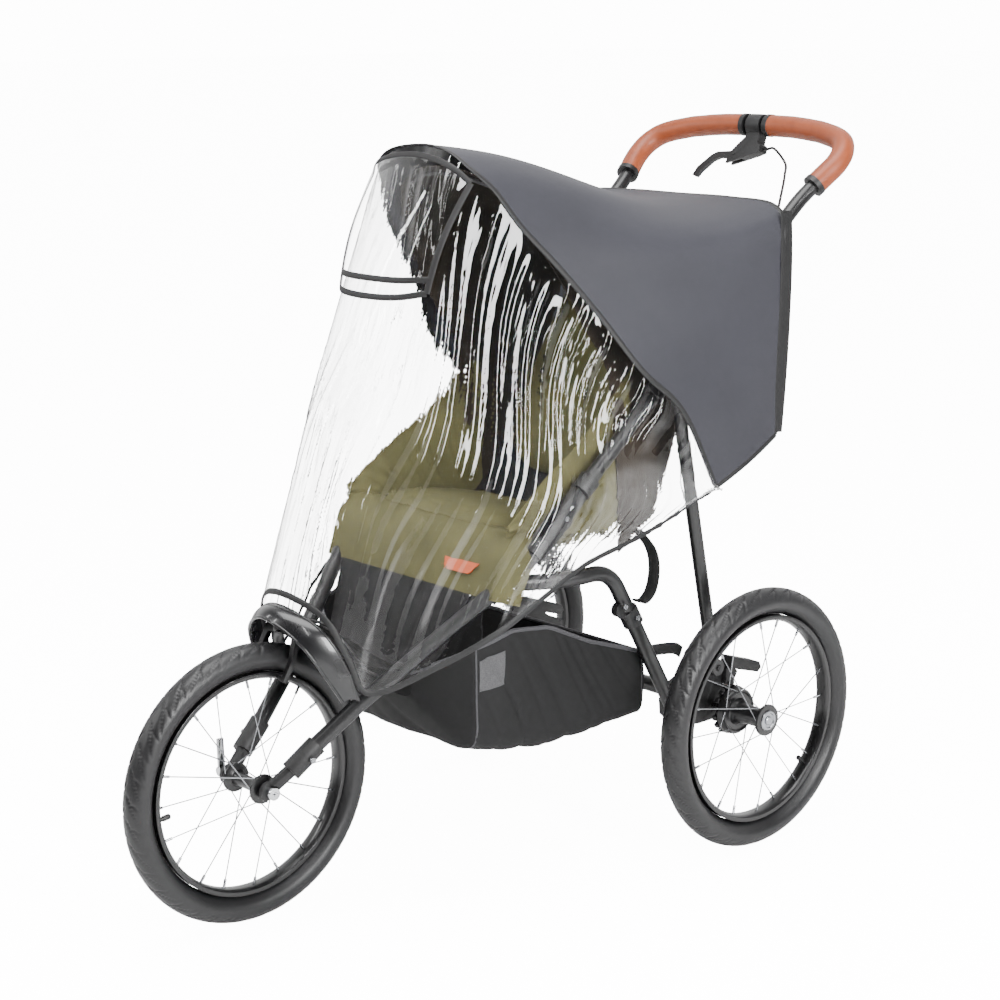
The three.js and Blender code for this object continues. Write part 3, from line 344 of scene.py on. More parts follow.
# ---------------------------------------------------------------- rims, hubs, spokes and valves
# Black box-section rims; crossed steel spokes whose nipples sit in the rim; black hubs, the rear
# ones with a dished dust cover next to the brake ring and a bright cap outside.
RIM_OUTER = WHEEL_RADIUS - TYRE_DEPTH - 0.3
RIM_LOOP = [
    (RIM_OUTER, 12.5), (RIM_OUTER - 1, 13), (RIM_OUTER - 6, 12.4), (
        RIM_OUTER - 8.5, 9.5,
    ), (RIM_OUTER - 9.6, 5),
    (RIM_OUTER - 10, 0), (RIM_OUTER - 9.6, -5), (
        RIM_OUTER - 8.5, -9.5,
    ), (RIM_OUTER - 6, -12.4), (RIM_OUTER - 1, -13),
    (RIM_OUTER, -12.5), (RIM_OUTER, 0),
]
SPOKES = 20
SPOKE_LEAN = math.radians(52)
SPOKE_RADIUS = 0.95
NIPPLE = {"radius": 2.0, "length": 11}
RIM_WELL = RIM_OUTER - 10
VALVE_TURN = {"front": math.radians(186), "left": math.radians(-42), "right": math.radians(70)}


def ring_section(radius, sides):
    angle = np.linspace(0, 2 * np.pi, sides, endpoint=False)
    return np.stack([radius * np.cos(angle), radius * np.sin(angle)], -1)


def swept(path, section, up=(0, 0, 1), closed=False):
    """A section, one for all or one per station, carried along a path in metres, with closed ends."""
    path = np.asarray(path, float)
    section = np.asarray(section, float) * MM
    if section.ndim == 2:
        section = np.broadcast_to(section, (len(path), *section.shape))
    ahead = np.roll(path, -1, 0) - np.roll(path, 1, 0) if closed else np.gradient(path, axis=0)
    ahead = ahead / np.linalg.norm(ahead, axis=1, keepdims=True)
    side = np.cross(ahead, np.asarray(up, float))
    side = side / np.linalg.norm(side, axis=1, keepdims=True)
    over = np.cross(side, ahead)
    points = path[:, None] + section[..., :1] * side[:, None] + section[..., 1:] * over[:, None]
    count = section.shape[1]
    faces = grid_faces(len(path), count, closed, True)
    if not closed:
        last = (len(path) - 1) * count
        faces += [list(range(count))[::-1], [last + k for k in range(count)]]
    return points, faces


def spoke_parts(centre, flanges, middle):
    """Lines from alternate flanges to the rim, leaning alternately forwards and back."""
    wires, nipples = [], []
    for i in range(SPOKES):
        flange_x, flange_radius = flanges[i % 2]
        lean = SPOKE_LEAN if (i // 2) % 2 else -SPOKE_LEAN
        foot = i / SPOKES * 2 * np.pi
        head = foot + lean
        start = np.array([flange_x, flange_radius * np.cos(head), flange_radius * np.sin(head)])
        end = np.array([
            middle + 3 * np.sign(flange_x - middle), RIM_WELL * np.cos(foot), RIM_WELL * np.sin(foot),
        ])
        run = (start - end) / np.linalg.norm(start - end)
        up = (1, 0, 0)
        origin = np.array([0, centre[1], centre[2]])
        wires.append(swept(np.stack([start, end]) * MM + origin, ring_section(SPOKE_RADIUS, 6), up))
        inner = end + NIPPLE["length"] * run
        nipples.append(
            swept(np.stack([end - 2 * run, inner]) * MM + origin, ring_section(NIPPLE["radius"], 8), up)
        )
    return wires, nipples


FRONT_HUB = [
    (3.6, -43), (8.2, -43), (8.6, -36), (
        19, -34.6,
    ), (21, -33.8), (21.4, -32), (21, -30.4), (17, -29.6), (11, -27),
    (
        9.5, -20,
    ), (9.5, 20), (11, 27), (17, 29.6), (21, 30.4), (21.4, 32), (21, 33.8), (19, 34.6), (8.6, 36), (8.2, 43),
    (3.6, 43),
]
REAR_HUB = [
    (6.6, 246.6), (34, 246.6), (36.4, 248), (36.6, 252), (
        35.6, 257.5,
    ), (33, 261), (30.5, 261.4), (28.5, 259), (21, 258.2),
    (18.4, 261), (17, 266), (16, 276), (15, 280), (14.4, 304), (
        15.6, 309.6,
    ), (22.6, 311.6), (24.2, 313), (24.4, 315.4),
    (23.8, 317.4), (16.4, 318), (16.2, 316.6), (6.6, 316.6),
]
REAR_CAP = [
    (6.8, 316.8), (15.8, 316.8), (15.6, 319), (14.4, 320.4), (11.6, 320.6), (10.6, 318.8), (6.8, 318.4),
]
REAR_PLUG = [(0.01, 312.8), (6.4, 312.8), (6.4, 320), (5, 321), (0.01, 321)]
black_metal = paint(
    "rim_black", (0.006, 0.006, 0.0065), 0.3, spread=0.12, shade=0.9, patch=20, bump=0.03,
    Coat_Weight=0.25,
)
steel = paint(
    "spoke_steel", (0.40, 0.41, 0.43), 0.26, spread=0.12, shade=0.85, patch=30, bump=0.02, Metallic=1.0,
)
cap_black = paint("cap_black", (0.007, 0.007, 0.0075), 0.45, bump=0.05)
for place, wheel in WHEELS.items():
    centre, body = wheel["centre"], wheel["body"]
    side = np.sign(centre[0]) if place != "front" else 1
    axle = np.array([0, centre[1], centre[2]])
    flanges = [(-31.8, 18), (31.8, 18)] if place == "front" else [(side * 259.5, 31), (side * 314.5, 21)]
    loop = FRONT_HUB if place == "front" else [(r, side * x) for r, x in REAR_HUB]
    rim = build(f"rim_{place}_section", [turned(RIM_LOOP, centre, 160)], black_metal, body)
    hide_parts(f"rim_{place}")
    hub = build(f"hub_{place}", [turned(loop, axle, 48)], black_metal, body, sharp=30)
    wires, nipples = spoke_parts(centre, flanges, centre[0] / MM)
    spokes = build(f"spokes_{place}", wires + nipples, steel, body, sharp=60)
    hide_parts(f"hub_spokes_{place}")
    if place != "front":
        cap_parts = [
            turned([(r, side * x) for r, x in loop_part], axle, 40)
            for loop_part in (REAR_CAP, REAR_PLUG)
        ]
        build(f"hub_cap_{place}", cap_parts, steel, body, sharp=30)
    turn = VALVE_TURN[place]
    outward = np.array([0, math.cos(turn), math.sin(turn)])
    stem = [
        centre + outward * r * MM
        for r in (RIM_WELL + 3, RIM_WELL - 5, RIM_WELL - 7, RIM_WELL - 17, RIM_WELL - 18.5)
    ]
    widths = np.array([3.2, 3.2, 4.1, 4.0, 2.6])[:, None, None] * ring_section(1, 12)[None]
    valve = build(f"valve_{place}", [swept(stem, widths, (1, 0, 0))], cap_black, body)

# ---------------------------------------------------------------- frame tubes
# Round satin-black tubes: the fork with its arched bridge, the push bar, the seat tubes that turn
# down into the rear legs, the cross axle and the struts.
PIN = JOINTS["fold"]["pos_m"]
RISE = math.atan2(PIN[2] - WHEEL_RADIUS * MM, PIN[1] - AXLE_Y)
HINGE_AT = math.hypot(PIN[2] - WHEEL_RADIUS * MM, PIN[1] - AXLE_Y) / MM
HINGE_ARM = 50
TUBE = 11.5
HANDLE_HALF = 193
FLARE = 18
REACH = 1352


def at(x, y, z):
    """Millimetres from the ground under the front axle, as a point of the row frame in metres."""
    return np.array([x * MM, AXLE_Y + y * MM, z * MM])


def slope(x, along, off=0.0):
    """A point by its distance along the line of the main tubes, and off it at right angles."""
    return at(
        x,
        along * math.cos(RISE) - off * math.sin(RISE),
        WHEEL_RADIUS + along * math.sin(RISE) + off * math.cos(RISE),
    )


def smooth_line(points, count):
    """Evenly spaced points on a smooth curve through given ones: cubic pieces, tangents from neighbours."""
    given = np.asarray(points, float)
    knots = np.concatenate([[0], np.cumsum(np.linalg.norm(np.diff(given, axis=0), axis=1) ** 0.5)])
    tangent = np.gradient(given, knots, axis=0)
    fine = np.linspace(0, knots[-1], 30 * len(given))
    i = np.clip(np.searchsorted(knots, fine, side="right") - 1, 0, len(given) - 2)
    gap = (knots[i + 1] - knots[i])[:, None]
    s = (fine - knots[i])[:, None] / gap
    curve = (
        (1 + 2 * s) * (1 - s) ** 2 * given[i] + s * (1 - s) ** 2 * gap * tangent[i]
        + s ** 2 * (3 - 2 * s) * given[i + 1] + s ** 2 * (s - 1) * gap * tangent[i + 1]
    )
    run = np.concatenate([[0], np.cumsum(np.linalg.norm(np.diff(curve, axis=0), axis=1))])
    even = np.linspace(0, run[-1], count)
    return np.stack([np.interp(even, run, curve[:, k]) for k in range(3)], 1)


def bent_line(corners, reach, steps=10):
    """Straight runs joined by short parabolic bends that start a reach away from each corner."""
    corners = [np.asarray(corner, float) for corner in corners]
    line = [corners[0]]
    for before, corner, after in zip(corners, corners[1:], corners[2:]):
        back, on = before - corner, after - corner
        cut = min(reach * MM, 0.45 * np.linalg.norm(back), 0.45 * np.linalg.norm(on))
        start, end = corner + cut * back / np.linalg.norm(back), corner + cut * on / np.linalg.norm(on)
        share = np.linspace(0, 1, steps)[:, None]
        line += list((1 - share) ** 2 * start + 2 * share * (1 - share) * corner + share ** 2 * end)
    return np.stack(line + [corners[-1]])


def fork_line(side):
    corners = [
        slope(side * 88, 169), slope(side * 150, 332), slope(side * HANDLE_HALF, 445),
        slope(side * HANDLE_HALF, HINGE_AT - HINGE_ARM),
    ]
    return np.concatenate([[slope(side * 62, 70), slope(side * 67, 90)], bent_line(corners, 30)])


def handle_line(side):
    points = [
        (HANDLE_HALF, HINGE_AT + HINGE_ARM), (HANDLE_HALF, 800), (HANDLE_HALF, 1150), (HANDLE_HALF + 2, 1200),
        (HANDLE_HALF + FLARE * 0.6, 1238), (HANDLE_HALF + FLARE, 1270), (HANDLE_HALF + FLARE * 0.83, 1298),
        (HANDLE_HALF - 1, REACH - 31), (152, REACH - 14), (78, REACH - 2), (14, REACH),
    ]
    return [slope(side * x, along) for x, along in points]


tube_paint = paint(
    "tube_paint", (0.007, 0.007, 0.0075), 0.36, spread=0.12, shade=0.88, patch=12, grain=1400, bump=0.06,
    Coat_Weight=0.15,
)
SIDES = (("left", 1), ("right", -1))
HANDLE_PATH = smooth_line(handle_line(1) + handle_line(-1)[::-1], 220)
handle = build(
    "push_bar_tube", [swept(HANDLE_PATH, ring_section(TUBE, 24), (0, 0.2, 1))], tube_paint,
    "handle_frame",
)
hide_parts("handle_tube")

BRIDGE_TURN = math.radians(67.5)
BRIDGE_AT = WHEEL_RADIUS + 20


def around_wheel(x, radius, ahead):
    """A point beside the front tyre: out from the axle towards the bridge, then forwards along the tyre."""
    return at(
        x,
        radius * math.cos(BRIDGE_TURN) - ahead * math.sin(BRIDGE_TURN),
        WHEEL_RADIUS + radius * math.sin(BRIDGE_TURN) + ahead * math.cos(BRIDGE_TURN),
    )


bridge_path = bent_line(
    [slope(86, 171), around_wheel(44, BRIDGE_AT, 0), around_wheel(-44, BRIDGE_AT, 0), slope(-86, 171)], 34,
)
bridge_bolt = [around_wheel(0, BRIDGE_AT, ahead) for ahead in (0, 26.5, 26.6, 32, 33)]
bolt_widths = np.array([3.5, 3.5, 6.5, 6.5, 5.2])[:, None, None] * ring_section(1, 16)[None]
bridge = build("fork_bridge_arch", [
    swept(bridge_path, ring_section(9, 20), (0, 1, 0.4)), swept(bridge_bolt, bolt_widths, (1, 0, 0)),
], tube_paint, "chassis")
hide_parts("fork_bridge")
axle_low, axle_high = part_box("rear_axle")
axle_y, axle_z = (axle_low.y + axle_high.y) / 2, (axle_low.z + axle_high.z) / 2
AXLE_RADIUS = (axle_high.z - axle_low.z) / 2 / MM
AXLE_STOPS = [-0.314, -0.178, -0.1775, 0.1775, 0.178, 0.314]
axle_widths = np.array([6, 6, AXLE_RADIUS, AXLE_RADIUS, 6, 6])[:, None, None] * ring_section(1, 24)[None]
axle_tube = build(
    "cross_axle", [swept([(x, axle_y, axle_z) for x in AXLE_STOPS], axle_widths)], tube_paint, "chassis",
)
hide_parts("rear_axle")
STRUT_FOOT = (706, 268)
STRUT_HEAD = (617, 710)
STRUT_HALF = 224
STRUT_RADIUS = 11
EYE_LOOP = [
    (5, -1), (5, 1), (12.4, 1), (13, 0.9), (13, -0.9), (12.4, -1),
]
for place, side in SIDES:
    fork = build(
        f"fork_tube_{place}_round", [swept(fork_line(side), ring_section(TUBE, 24))], tube_paint,
        "chassis",
    )
    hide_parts(f"fork_tube_{place}")
    leg_corners = [
        slope(side * 146, 400), at(side * 200, 425, 452), at(side * 200, 505, 452),
        at(side * 200, 641, 212),
    ]
    leg_path = bent_line(leg_corners, 45)
    leg = build(
        f"seat_tube_{place}_round", [swept(leg_path, ring_section(TUBE, 24), (0.3, 0.2, 1))], tube_paint,
        "chassis",
    )
    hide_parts(f"seat_tube_{place}")
    foot, head = at(side * STRUT_HALF, *STRUT_FOOT), at(side * STRUT_HALF, *STRUT_HEAD)
    eyes = [turned([(r, x * STRUT_RADIUS) for r, x in EYE_LOOP], end, 32) for end in (foot, head)]
    run = (head - foot) / np.linalg.norm(head - foot)
    bar = swept([foot + run * 0.009, head - run * 0.009], ring_section(STRUT_RADIUS - 1, 24), (1, 0, 0))
    strut = build(f"strut_{place}_round", [bar, *eyes], tube_paint, "struts")
    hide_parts(f"strut_{place}")

# ---------------------------------------------------------------- leather grips
# Tan leather sewn round the push bar, from the straight tubes to the brake clamp: a raised seam
# along its inner side and a black ring at each end.
GRIP_RADIUS = 17.4
GRIP_FROM = 1215
CLAMP_GAP = 17
leather = paint(
    "grip_leather", (0.30, 0.066, 0.021), 0.42, spread=0.2, shade=0.86, patch=60, grain=700, bump=0.25,
    Specular_IOR_Level=0.45,
)
ring_black = paint("ring_black", (0.007, 0.007, 0.0075), 0.45, bump=0.05)


def grip_pieces(place, side):
    """Leather over the part of the bar's line between the first grip point and the clamp."""
    half = HANDLE_PATH[HANDLE_PATH[:, 0] * side > CLAMP_GAP * MM]
    along = (half[:, 1] - AXLE_Y) * math.cos(RISE) + (half[:, 2] - WHEEL_RADIUS * MM) * math.sin(RISE)
    line = half[along > GRIP_FROM * MM]
    line = line if side > 0 else line[::-1]
    line = smooth_line(line[::3], 150)
    run = np.linspace(0, np.sum(np.linalg.norm(np.diff(line, axis=0), axis=1)) / MM, len(line))
    angle = np.linspace(0, 2 * np.pi, 36, endpoint=False)
    seam = np.exp(-((angle - 1.15 * np.pi) / 0.09) ** 2)
    crease = 0.25 * np.sin(run / 9 + 2 * np.sin(run / 31))[:, None] * np.cos(angle - 0.5 + run[:, None] / 60)
    radius = GRIP_RADIUS + 0.7 * seam[None] + crease
    radius[[0, -1]] = TUBE + 1.5
    section = np.stack([radius * np.cos(angle), radius * np.sin(angle)], -1)
    body = build(
        f"grip_{place}_leather", [swept(line, section, (0, 0.2, 1))], leather, "handle_frame", sharp=60,
    )
    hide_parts(f"grip_{place}")
    rings = []
    for end, inner in ((line[0], line[3]), (line[-1], line[-4])):
        way = (inner - end) / np.linalg.norm(inner - end)
        stations = [end - way * 0.001, end - way * 0.0005, end + way * 0.008, end + way * 0.0085]
        widths = np.array([TUBE + 1, GRIP_RADIUS + 0.9, GRIP_RADIUS + 0.9, GRIP_RADIUS])
        rings.append(swept(stations, widths[:, None, None] * ring_section(1, 32)[None], (0, 0.2, 1)))
    build(f"grip_rings_{place}", rings, ring_black, "handle_frame")


for place, side in SIDES:
    grip_pieces(place, side)

# ---------------------------------------------------------------- moulded and metal parts kept from the frame
# The frame's own brackets, hinges, clamps, levers, pins and hubs, with softened edges.
moulded = paint(
    "moulded_black_plastic", (0.009, 0.009, 0.0095), 0.5, spread=0.15, shade=0.85, patch=16, grain=1100,
    bump=0.22,
)
satin = paint("satin_black_metal", (0.007, 0.007, 0.0075), 0.33, spread=0.1, bump=0.05)
chrome = paint("chrome", (0.72, 0.73, 0.75), 0.14, spread=0.06, shade=0.9, patch=40, bump=0.01, Metallic=1.0)
KEPT = (
    (moulded, 1.6, ("fork_end_left", "fork_end_right", "hinge_lower_left", "hinge_lower_right",
    "hinge_upper_left",
                    "hinge_upper_right", "strut_collar_left", "strut_collar_right",
                    "leg_clamp_left", "leg_clamp_right",
                    "axle_bracket_left", "axle_bracket_right",
                    "brake_pedal_left", "brake_pedal_right", "brake_clamp",
                    "brake_lever", "hood_hub_left", "hood_hub_right")),
    (satin, 0.8, ("caliper_arm_left", "caliper_arm_right", "brake_ring_left", "brake_ring_right")),
    (
        chrome, 0.5,
        ("axle_skewer", "quick_release_lever", "brake_pin_left", "brake_pin_right", "seat_hinge_rod"),
    ),
)


def shading_nodes(limit):
    """Geometry nodes: everything smooth except the edges that turn by more than a limit."""
    group = bpy.data.node_groups.new("shade by angle", "GeometryNodeTree")
    for in_out in ("INPUT", "OUTPUT"):
        group.interface.new_socket("Geometry", in_out=in_out, socket_type="NodeSocketGeometry")
    nodes, links = group.nodes, group.links
    given, result = nodes.new("NodeGroupInput"), nodes.new("NodeGroupOutput")
    smooth, crisp = nodes.new("GeometryNodeSetShadeSmooth"), nodes.new("GeometryNodeSetShadeSmooth")
    angle, sharp = nodes.new("GeometryNodeInputMeshEdgeAngle"), nodes.new("FunctionNodeCompare")
    crisp.domain = "EDGE"
    crisp.inputs["Shade Smooth"].default_value = False
    sharp.operation = "GREATER_THAN"
    sharp.inputs[1].default_value = limit
    links.new(given.outputs[0], smooth.inputs["Geometry"])
    links.new(smooth.outputs["Geometry"], crisp.inputs["Geometry"])
    links.new(angle.outputs["Unsigned Angle"], sharp.inputs[0])
    links.new(sharp.outputs["Result"], crisp.inputs["Selection"])
    links.new(crisp.outputs["Geometry"], result.inputs[0])
    return group


BY_ANGLE = shading_nodes(math.radians(34))


def soften(piece, width):
    """Join the corners, bevel the edges that turn sharply, and shade the rest smooth."""
    if "custom_normal" in piece.data.attributes:
        piece.data.attributes.remove(piece.data.attributes["custom_normal"])
    weld = piece.modifiers.new("join corners", "WELD")
    weld.merge_threshold = 0.00001
    bevel = piece.modifiers.new("soft edges", "BEVEL")
    bevel.width = width * MM
    bevel.segments = 3
    bevel.limit_method = "ANGLE"
    bevel.angle_limit = math.radians(34)
    piece.modifiers.new("shade by angle", "NODES").node_group = BY_ANGLE


for material, width, names in KEPT:
    for name in names:
        node = frame["nodes"][name]
        node.data.materials.clear()
        node.data.materials.append(material)
        soften(node, width)

# screws: (side x, y, z) of the head's middle, and the way it faces
SCREWS = []
for _, side in SIDES:
    SCREWS += [
        (slope(side * 67, 66) + np.array([side * 0.0165, 0, 0]), (side, 0, 0)),
        (at(side * 216, 524, 396), (side, 0, 0)),
        (at(side * 216.5, 549, 374), (side, 0, 0)),
        (slope(side * (HANDLE_HALF + 12), HINGE_AT), (side, 0, 0)),
        (at(side * 210.5, 668, 208), (side, 0, 0)),
    ]


def screw(middle, facing):
    """A domed head with a hollow in its middle, as a turned loop on a short run."""
    middle, facing = np.asarray(middle), np.asarray(facing, float)
    stations = [
        middle - facing * 0.003, middle, middle + facing * 0.0012, middle + facing * 0.0018,
        middle + facing * 0.0008,
    ]
    widths = np.array([4.4, 4.4, 3.9, 2.4, 1.8])[:, None, None] * ring_section(1, 18)[None]
    return swept(stations, widths, (0, 0, 1))


screws = build("screw_heads", [screw(*place) for place in SCREWS], steel, "chassis", sharp=30)

# ---------------------------------------------------------------- brake cables
# A thin black cable from the lever to the left tube, and one from the fork tube to the brake arms.
CABLE = 2.2
cable_black = paint("cable_black", (0.006, 0.006, 0.0065), 0.38, bump=0.03)
DROP = math.radians(15.6)


def hanging(x, drop):
    return slope(x, REACH) - np.array([0, math.sin(DROP), math.cos(DROP)]) * drop * MM


cable_routes = (
    ("upper", "handle_frame", [hanging(20.3, 39), hanging(28, 39), hanging(40, 36), at(62, 1036, 1005),
    at(90, 1004, 988),
                               at(128, 952, 962), at(160, 905, 938), slope(HANDLE_HALF - TUBE - 1, 1120)]),
    ("lower", "chassis", [slope(96, 212, 10), at(82, 146, 352), at(66, 122, 392), at(48, 104, 418),
    at(32, 84, 424),
                          around_wheel(24, BRIDGE_AT + 7, 14)]),
)
for place, body, route in cable_routes:
    line = smooth_line(route, 60)
    cable = build(f"cable_{place}", [swept(line, ring_section(CABLE, 12), (0.3, 0.2, 1))], cable_black, body)
    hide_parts(f"brake_cable_{place}")

# ---------------------------------------------------------------- toe bumper and footwell
# A curved moulded bumper in front of the child's feet, and the black cloth that hangs between the
# fork tubes from the bumper to the seat.


def shell(grid, thickness):
    """A grid of points made a thin closed solid, half the thickness each way along its normals."""
    rows, columns = grid.shape[:2]
    normal = np.cross(np.gradient(grid, axis=1), np.gradient(grid, axis=0))
    normal = normal / np.maximum(np.linalg.norm(normal, axis=-1, keepdims=True), 1e-12)
    half = normal * thickness * MM / 2
    points = np.concatenate([(grid + half).reshape(-1, 3), (grid - half).reshape(-1, 3)])
    count = rows * columns
    index = np.arange(count).reshape(rows, columns)
    border = np.concatenate([index[0, :-1], index[:-1, -1], index[-1, :0:-1], index[:0:-1, 0]])
    ahead = np.roll(border, -1)
    rim = np.stack([border, ahead, ahead + count, border + count], -1).tolist()
    faces = np.array(grid_faces(rows, columns))
    return points, faces.tolist() + (faces[:, ::-1] + count).tolist() + rim


def arch(points, count):
    """A smooth line from the left hem over the middle to the right hem, the right half mirrored."""
    left = [at(*point) for point in points]
    right = [at(-x, y, z) for x, y, z in points[:-1]][::-1]
    return smooth_line(left + right, count)


def between(first, last, rows, bow=None):
    """Rows of points from one line to another; bow is how far the middle rows stand off, in metres."""
    share = np.linspace(0, 1, rows)[:, None, None]
    grid = first[None] * (1 - share) + last[None] * share
    if bow is not None:
        grid = grid + np.sin(np.pi * share) * np.asarray(bow)
    return grid


def off_surface(grid, height):
    """Each point moved along its own normal by a height in millimetres."""
    normal = np.cross(np.gradient(grid, axis=1), np.gradient(grid, axis=0))
    normal = normal / np.maximum(np.linalg.norm(normal, axis=-1, keepdims=True), 1e-12)
    return grid + normal * height[..., None] * MM


bumper_front = arch([(94, 96, 318), (86, 80, 348), (60, 52, 402), (0, 34, 432)], 90)
bumper_back = arch([(102, 117, 318), (96, 104, 364), (70, 80, 418), (0, 62, 444)], 90)
bumper_skin = between(bumper_front, bumper_back, 14, (0, -0.002, 0.004))
bumper_plastic = paint(
    "bumper_black", (0.007, 0.007, 0.008), 0.28, spread=0.12, shade=0.85, patch=20, bump=0.05,
    Coat_Weight=0.3,
)
bumper = build("toe_bumper_shell", [
    shell(bumper_skin, 3),
    swept(
        bumper_front, ring_section(2.6, 10), (0, 1, 0.3),
    ), swept(bumper_back, ring_section(2.6, 10), (0, 1, 0.3)),
], bumper_plastic, "chassis")
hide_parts("toe_bumper")


def folds(across, down, seeds, amplitude, sharpness=2.0):
    """Heights of creases: ridges along lines that wander, from a few waves with chosen phases."""
    total = np.zeros(np.broadcast(across, down).shape)
    for count, phase, drift, weight in seeds:
        wave = np.sin(np.pi * (count * across + phase + drift * np.sin(2.3 * down + phase)))
        total = total + weight * ((1 - np.abs(wave)) ** sharpness - 0.35)
    return amplitude * total


black_cloth = paint("black_cloth", (0.010, 0.0095, 0.010), 0.8, spread=0.15, shade=0.75, patch=12,
grain=500, bump=0.1,
                    Specular_IOR_Level=0.25)
FOOT_ROWS = [
    (96, 418, 54), (128, 398, 66), (168, 366, 84), (205, 345, 104), (238, 352, 122), (262, 394, 136),
    (286, 446, 146),
]
foot_line = smooth_line([(half * MM, y * MM, z * MM) for y, z, half in FOOT_ROWS], 46)
w = np.linspace(-1, 1, 61)[None, :]
foot_grid = np.stack([
    foot_line[:, :1] * w, foot_line[:, 1:2] + 0 * w + AXLE_Y, foot_line[:,
    2:] - 0.014 * (1 - w ** 2) * np.sin(
        np.pi * np.linspace(0, 1, 46)[:, None]),
], -1)
foot_fold = folds(w * 0.5, np.linspace(0, 1, 46)[:, None], [(6, 0.3, 0.5, 1), (11, 0.1, 0.8, 0.5)], 2.2)
foot_grid = off_surface(foot_grid, foot_fold * (1 - w ** 4))
footwell = build("footwell_cloth", [shell(foot_grid, 1.6)], black_cloth, "chassis", sharp=70)
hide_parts("footwell")


# ---------------------------------------------------------------- seat
# Olive cloth: a sling that drops over the front of the seat and wraps the tubes, a padded cushion,
# a padded back with a black cloth panel behind it, pleated side wings and a small leather tab sewn
# on the flap.
olive = paint(
    "olive_cloth", (0.080, 0.074, 0.030), 0.82, spread=0.1, shade=0.72, patch=11, grain=500, bump=0.12,
    Specular_IOR_Level=0.25,
)
leather_tab = paint("tab_leather", (0.45, 0.075, 0.015), 0.5, shade=0.85, patch=90, bump=0.3)
SLING = [(290, 444), (302, 480), (316, 510), (334, 528), (352, 530), (420, 512), (560, 486)]
SLING_HALF = [200, 201, 202, 202, 192, 172, 150]
sling_line = smooth_line([(half * MM, y * MM, z * MM) for (y, z), half in zip(SLING, SLING_HALF)], 64)
run = np.gradient(sling_line, axis=0)
inward = np.stack([0 * run[:, 1], run[:, 2], -run[:, 1]], -1)
inward = inward / np.linalg.norm(inward, axis=1, keepdims=True)
w = np.linspace(-1, 1, 101)
wrap = np.clip((np.abs(w) - 0.86) / 0.14, 0, 1)
side_x = np.sign(w) * np.minimum(np.abs(w) / 0.93, 1)
reach_in = 0.044 * wrap ** 1.5
wrap_share = np.clip((sling_line[:, 0] - 0.172) / 0.03, 0, 1)[:, None]
sling_grid = np.stack([
    sling_line[:, :1] * side_x[None],
    AXLE_Y + sling_line[:, 1:2] + inward[:, 1:2] * reach_in[None] * wrap_share,
    sling_line[:, 2:] + inward[:, 2:] * reach_in[None] * wrap_share,
], -1)
sling_u = np.linspace(0, 1, 64)[:, None]
sling_fold = folds(w[None] * 0.5 + 0.1 * sling_u, sling_u, [(5, 0.2, 0.4, 1), (9, 0.6, 0.9, 0.5)], 1.6)
seams = -1.6 * (np.exp(-((sling_u - 0.36) / 0.008) ** 2) + np.exp(-((sling_u - 0.42) / 0.008) ** 2))
sling_grid = off_surface(sling_grid, (sling_fold + seams) * (1 - np.abs(w[None]) ** 6))
sling = build("seat_sling", [shell(sling_grid, 1.8)], olive, "chassis", sharp=70)


def pillow(outline, low, high, place, rows=44, columns=44, square=3.2):
    """A crowned closed form over a rounded-rectangle outline; place() puts (across, along, up) in metres."""
    half_a, start_b, end_b = outline
    u = np.linspace(0, 1, rows)[:, None]
    turn = np.linspace(0, 2 * np.pi, 4 * columns, endpoint=False)[None, :]
    rim_a = np.sign(np.cos(turn)) * np.abs(np.cos(turn)) ** (2 / square)
    rim_b = np.sign(np.sin(turn)) * np.abs(np.sin(turn)) ** (2 / square)
    spread = np.sin(np.pi * u) ** 0.32
    height = np.cos(np.pi * u)
    up = np.where(height > 0, high, -low) * np.abs(height) ** 0.75
    a = half_a * rim_a * spread
    b = (start_b + end_b) / 2 + (end_b - start_b) / 2 * rim_b * spread
    grid = place(a, b, np.broadcast_to(up, a.shape))
    poles = grid[0].mean(0), grid[-1].mean(0)
    inner = grid[1:-1]
    count = inner.shape[1]
    points = np.concatenate([inner.reshape(-1, 3), [poles[0]], [poles[1]]])
    faces = grid_faces(inner.shape[0], count, False, True)
    top, bottom = inner.shape[0] * count, inner.shape[0] * count + 1
    last = (inner.shape[0] - 1) * count
    faces += [[top, (k + 1) % count, k] for k in range(count)]
    faces += [[bottom, last + k, last + (k + 1) % count] for k in range(count)]
    return points, faces


def puff(piece, voxel, frames=20, most=0.007):
    """Blow the piece up a little with a cloth simulation, cap how far each point moves, and keep it."""
    remesh = piece.modifiers.new("remesh", "REMESH")
    remesh.mode = "VOXEL"
    remesh.voxel_size = voxel
    bpy.context.view_layer.objects.active = piece
    bpy.ops.object.modifier_apply(modifier=remesh.name)
    count = len(piece.data.vertices)
    before = np.empty(count * 3)
    piece.data.vertices.foreach_get("co", before)
    cloth = piece.modifiers.new("cloth", "CLOTH")
    cloth.settings.use_pressure = True
    cloth.settings.uniform_pressure_force = 4
    cloth.settings.effector_weights.gravity = 0
    cloth.settings.quality = 4
    cloth.collision_settings.use_collision = False
    for step in range(1, frames + 1):
        bpy.context.scene.frame_set(step)
    shape = piece.evaluated_get(bpy.context.evaluated_depsgraph_get())
    after = np.empty(count * 3)
    shape.data.vertices.foreach_get("co", after)
    piece.modifiers.remove(cloth)
    bpy.context.scene.frame_set(1)
    move = (after - before).reshape(-1, 3)
    length = np.maximum(np.linalg.norm(move, axis=1, keepdims=True), 1e-9)
    settled = before.reshape(-1, 3) + move * np.minimum(1, most / length)
    piece.data.vertices.foreach_set("co", settled.ravel())
    piece.data.update()
    finer = piece.modifiers.new("finer", "SUBSURF")
    finer.levels = finer.render_levels = 1
    bpy.ops.object.modifier_apply(modifier=finer.name)
    piece.data.shade_smooth()


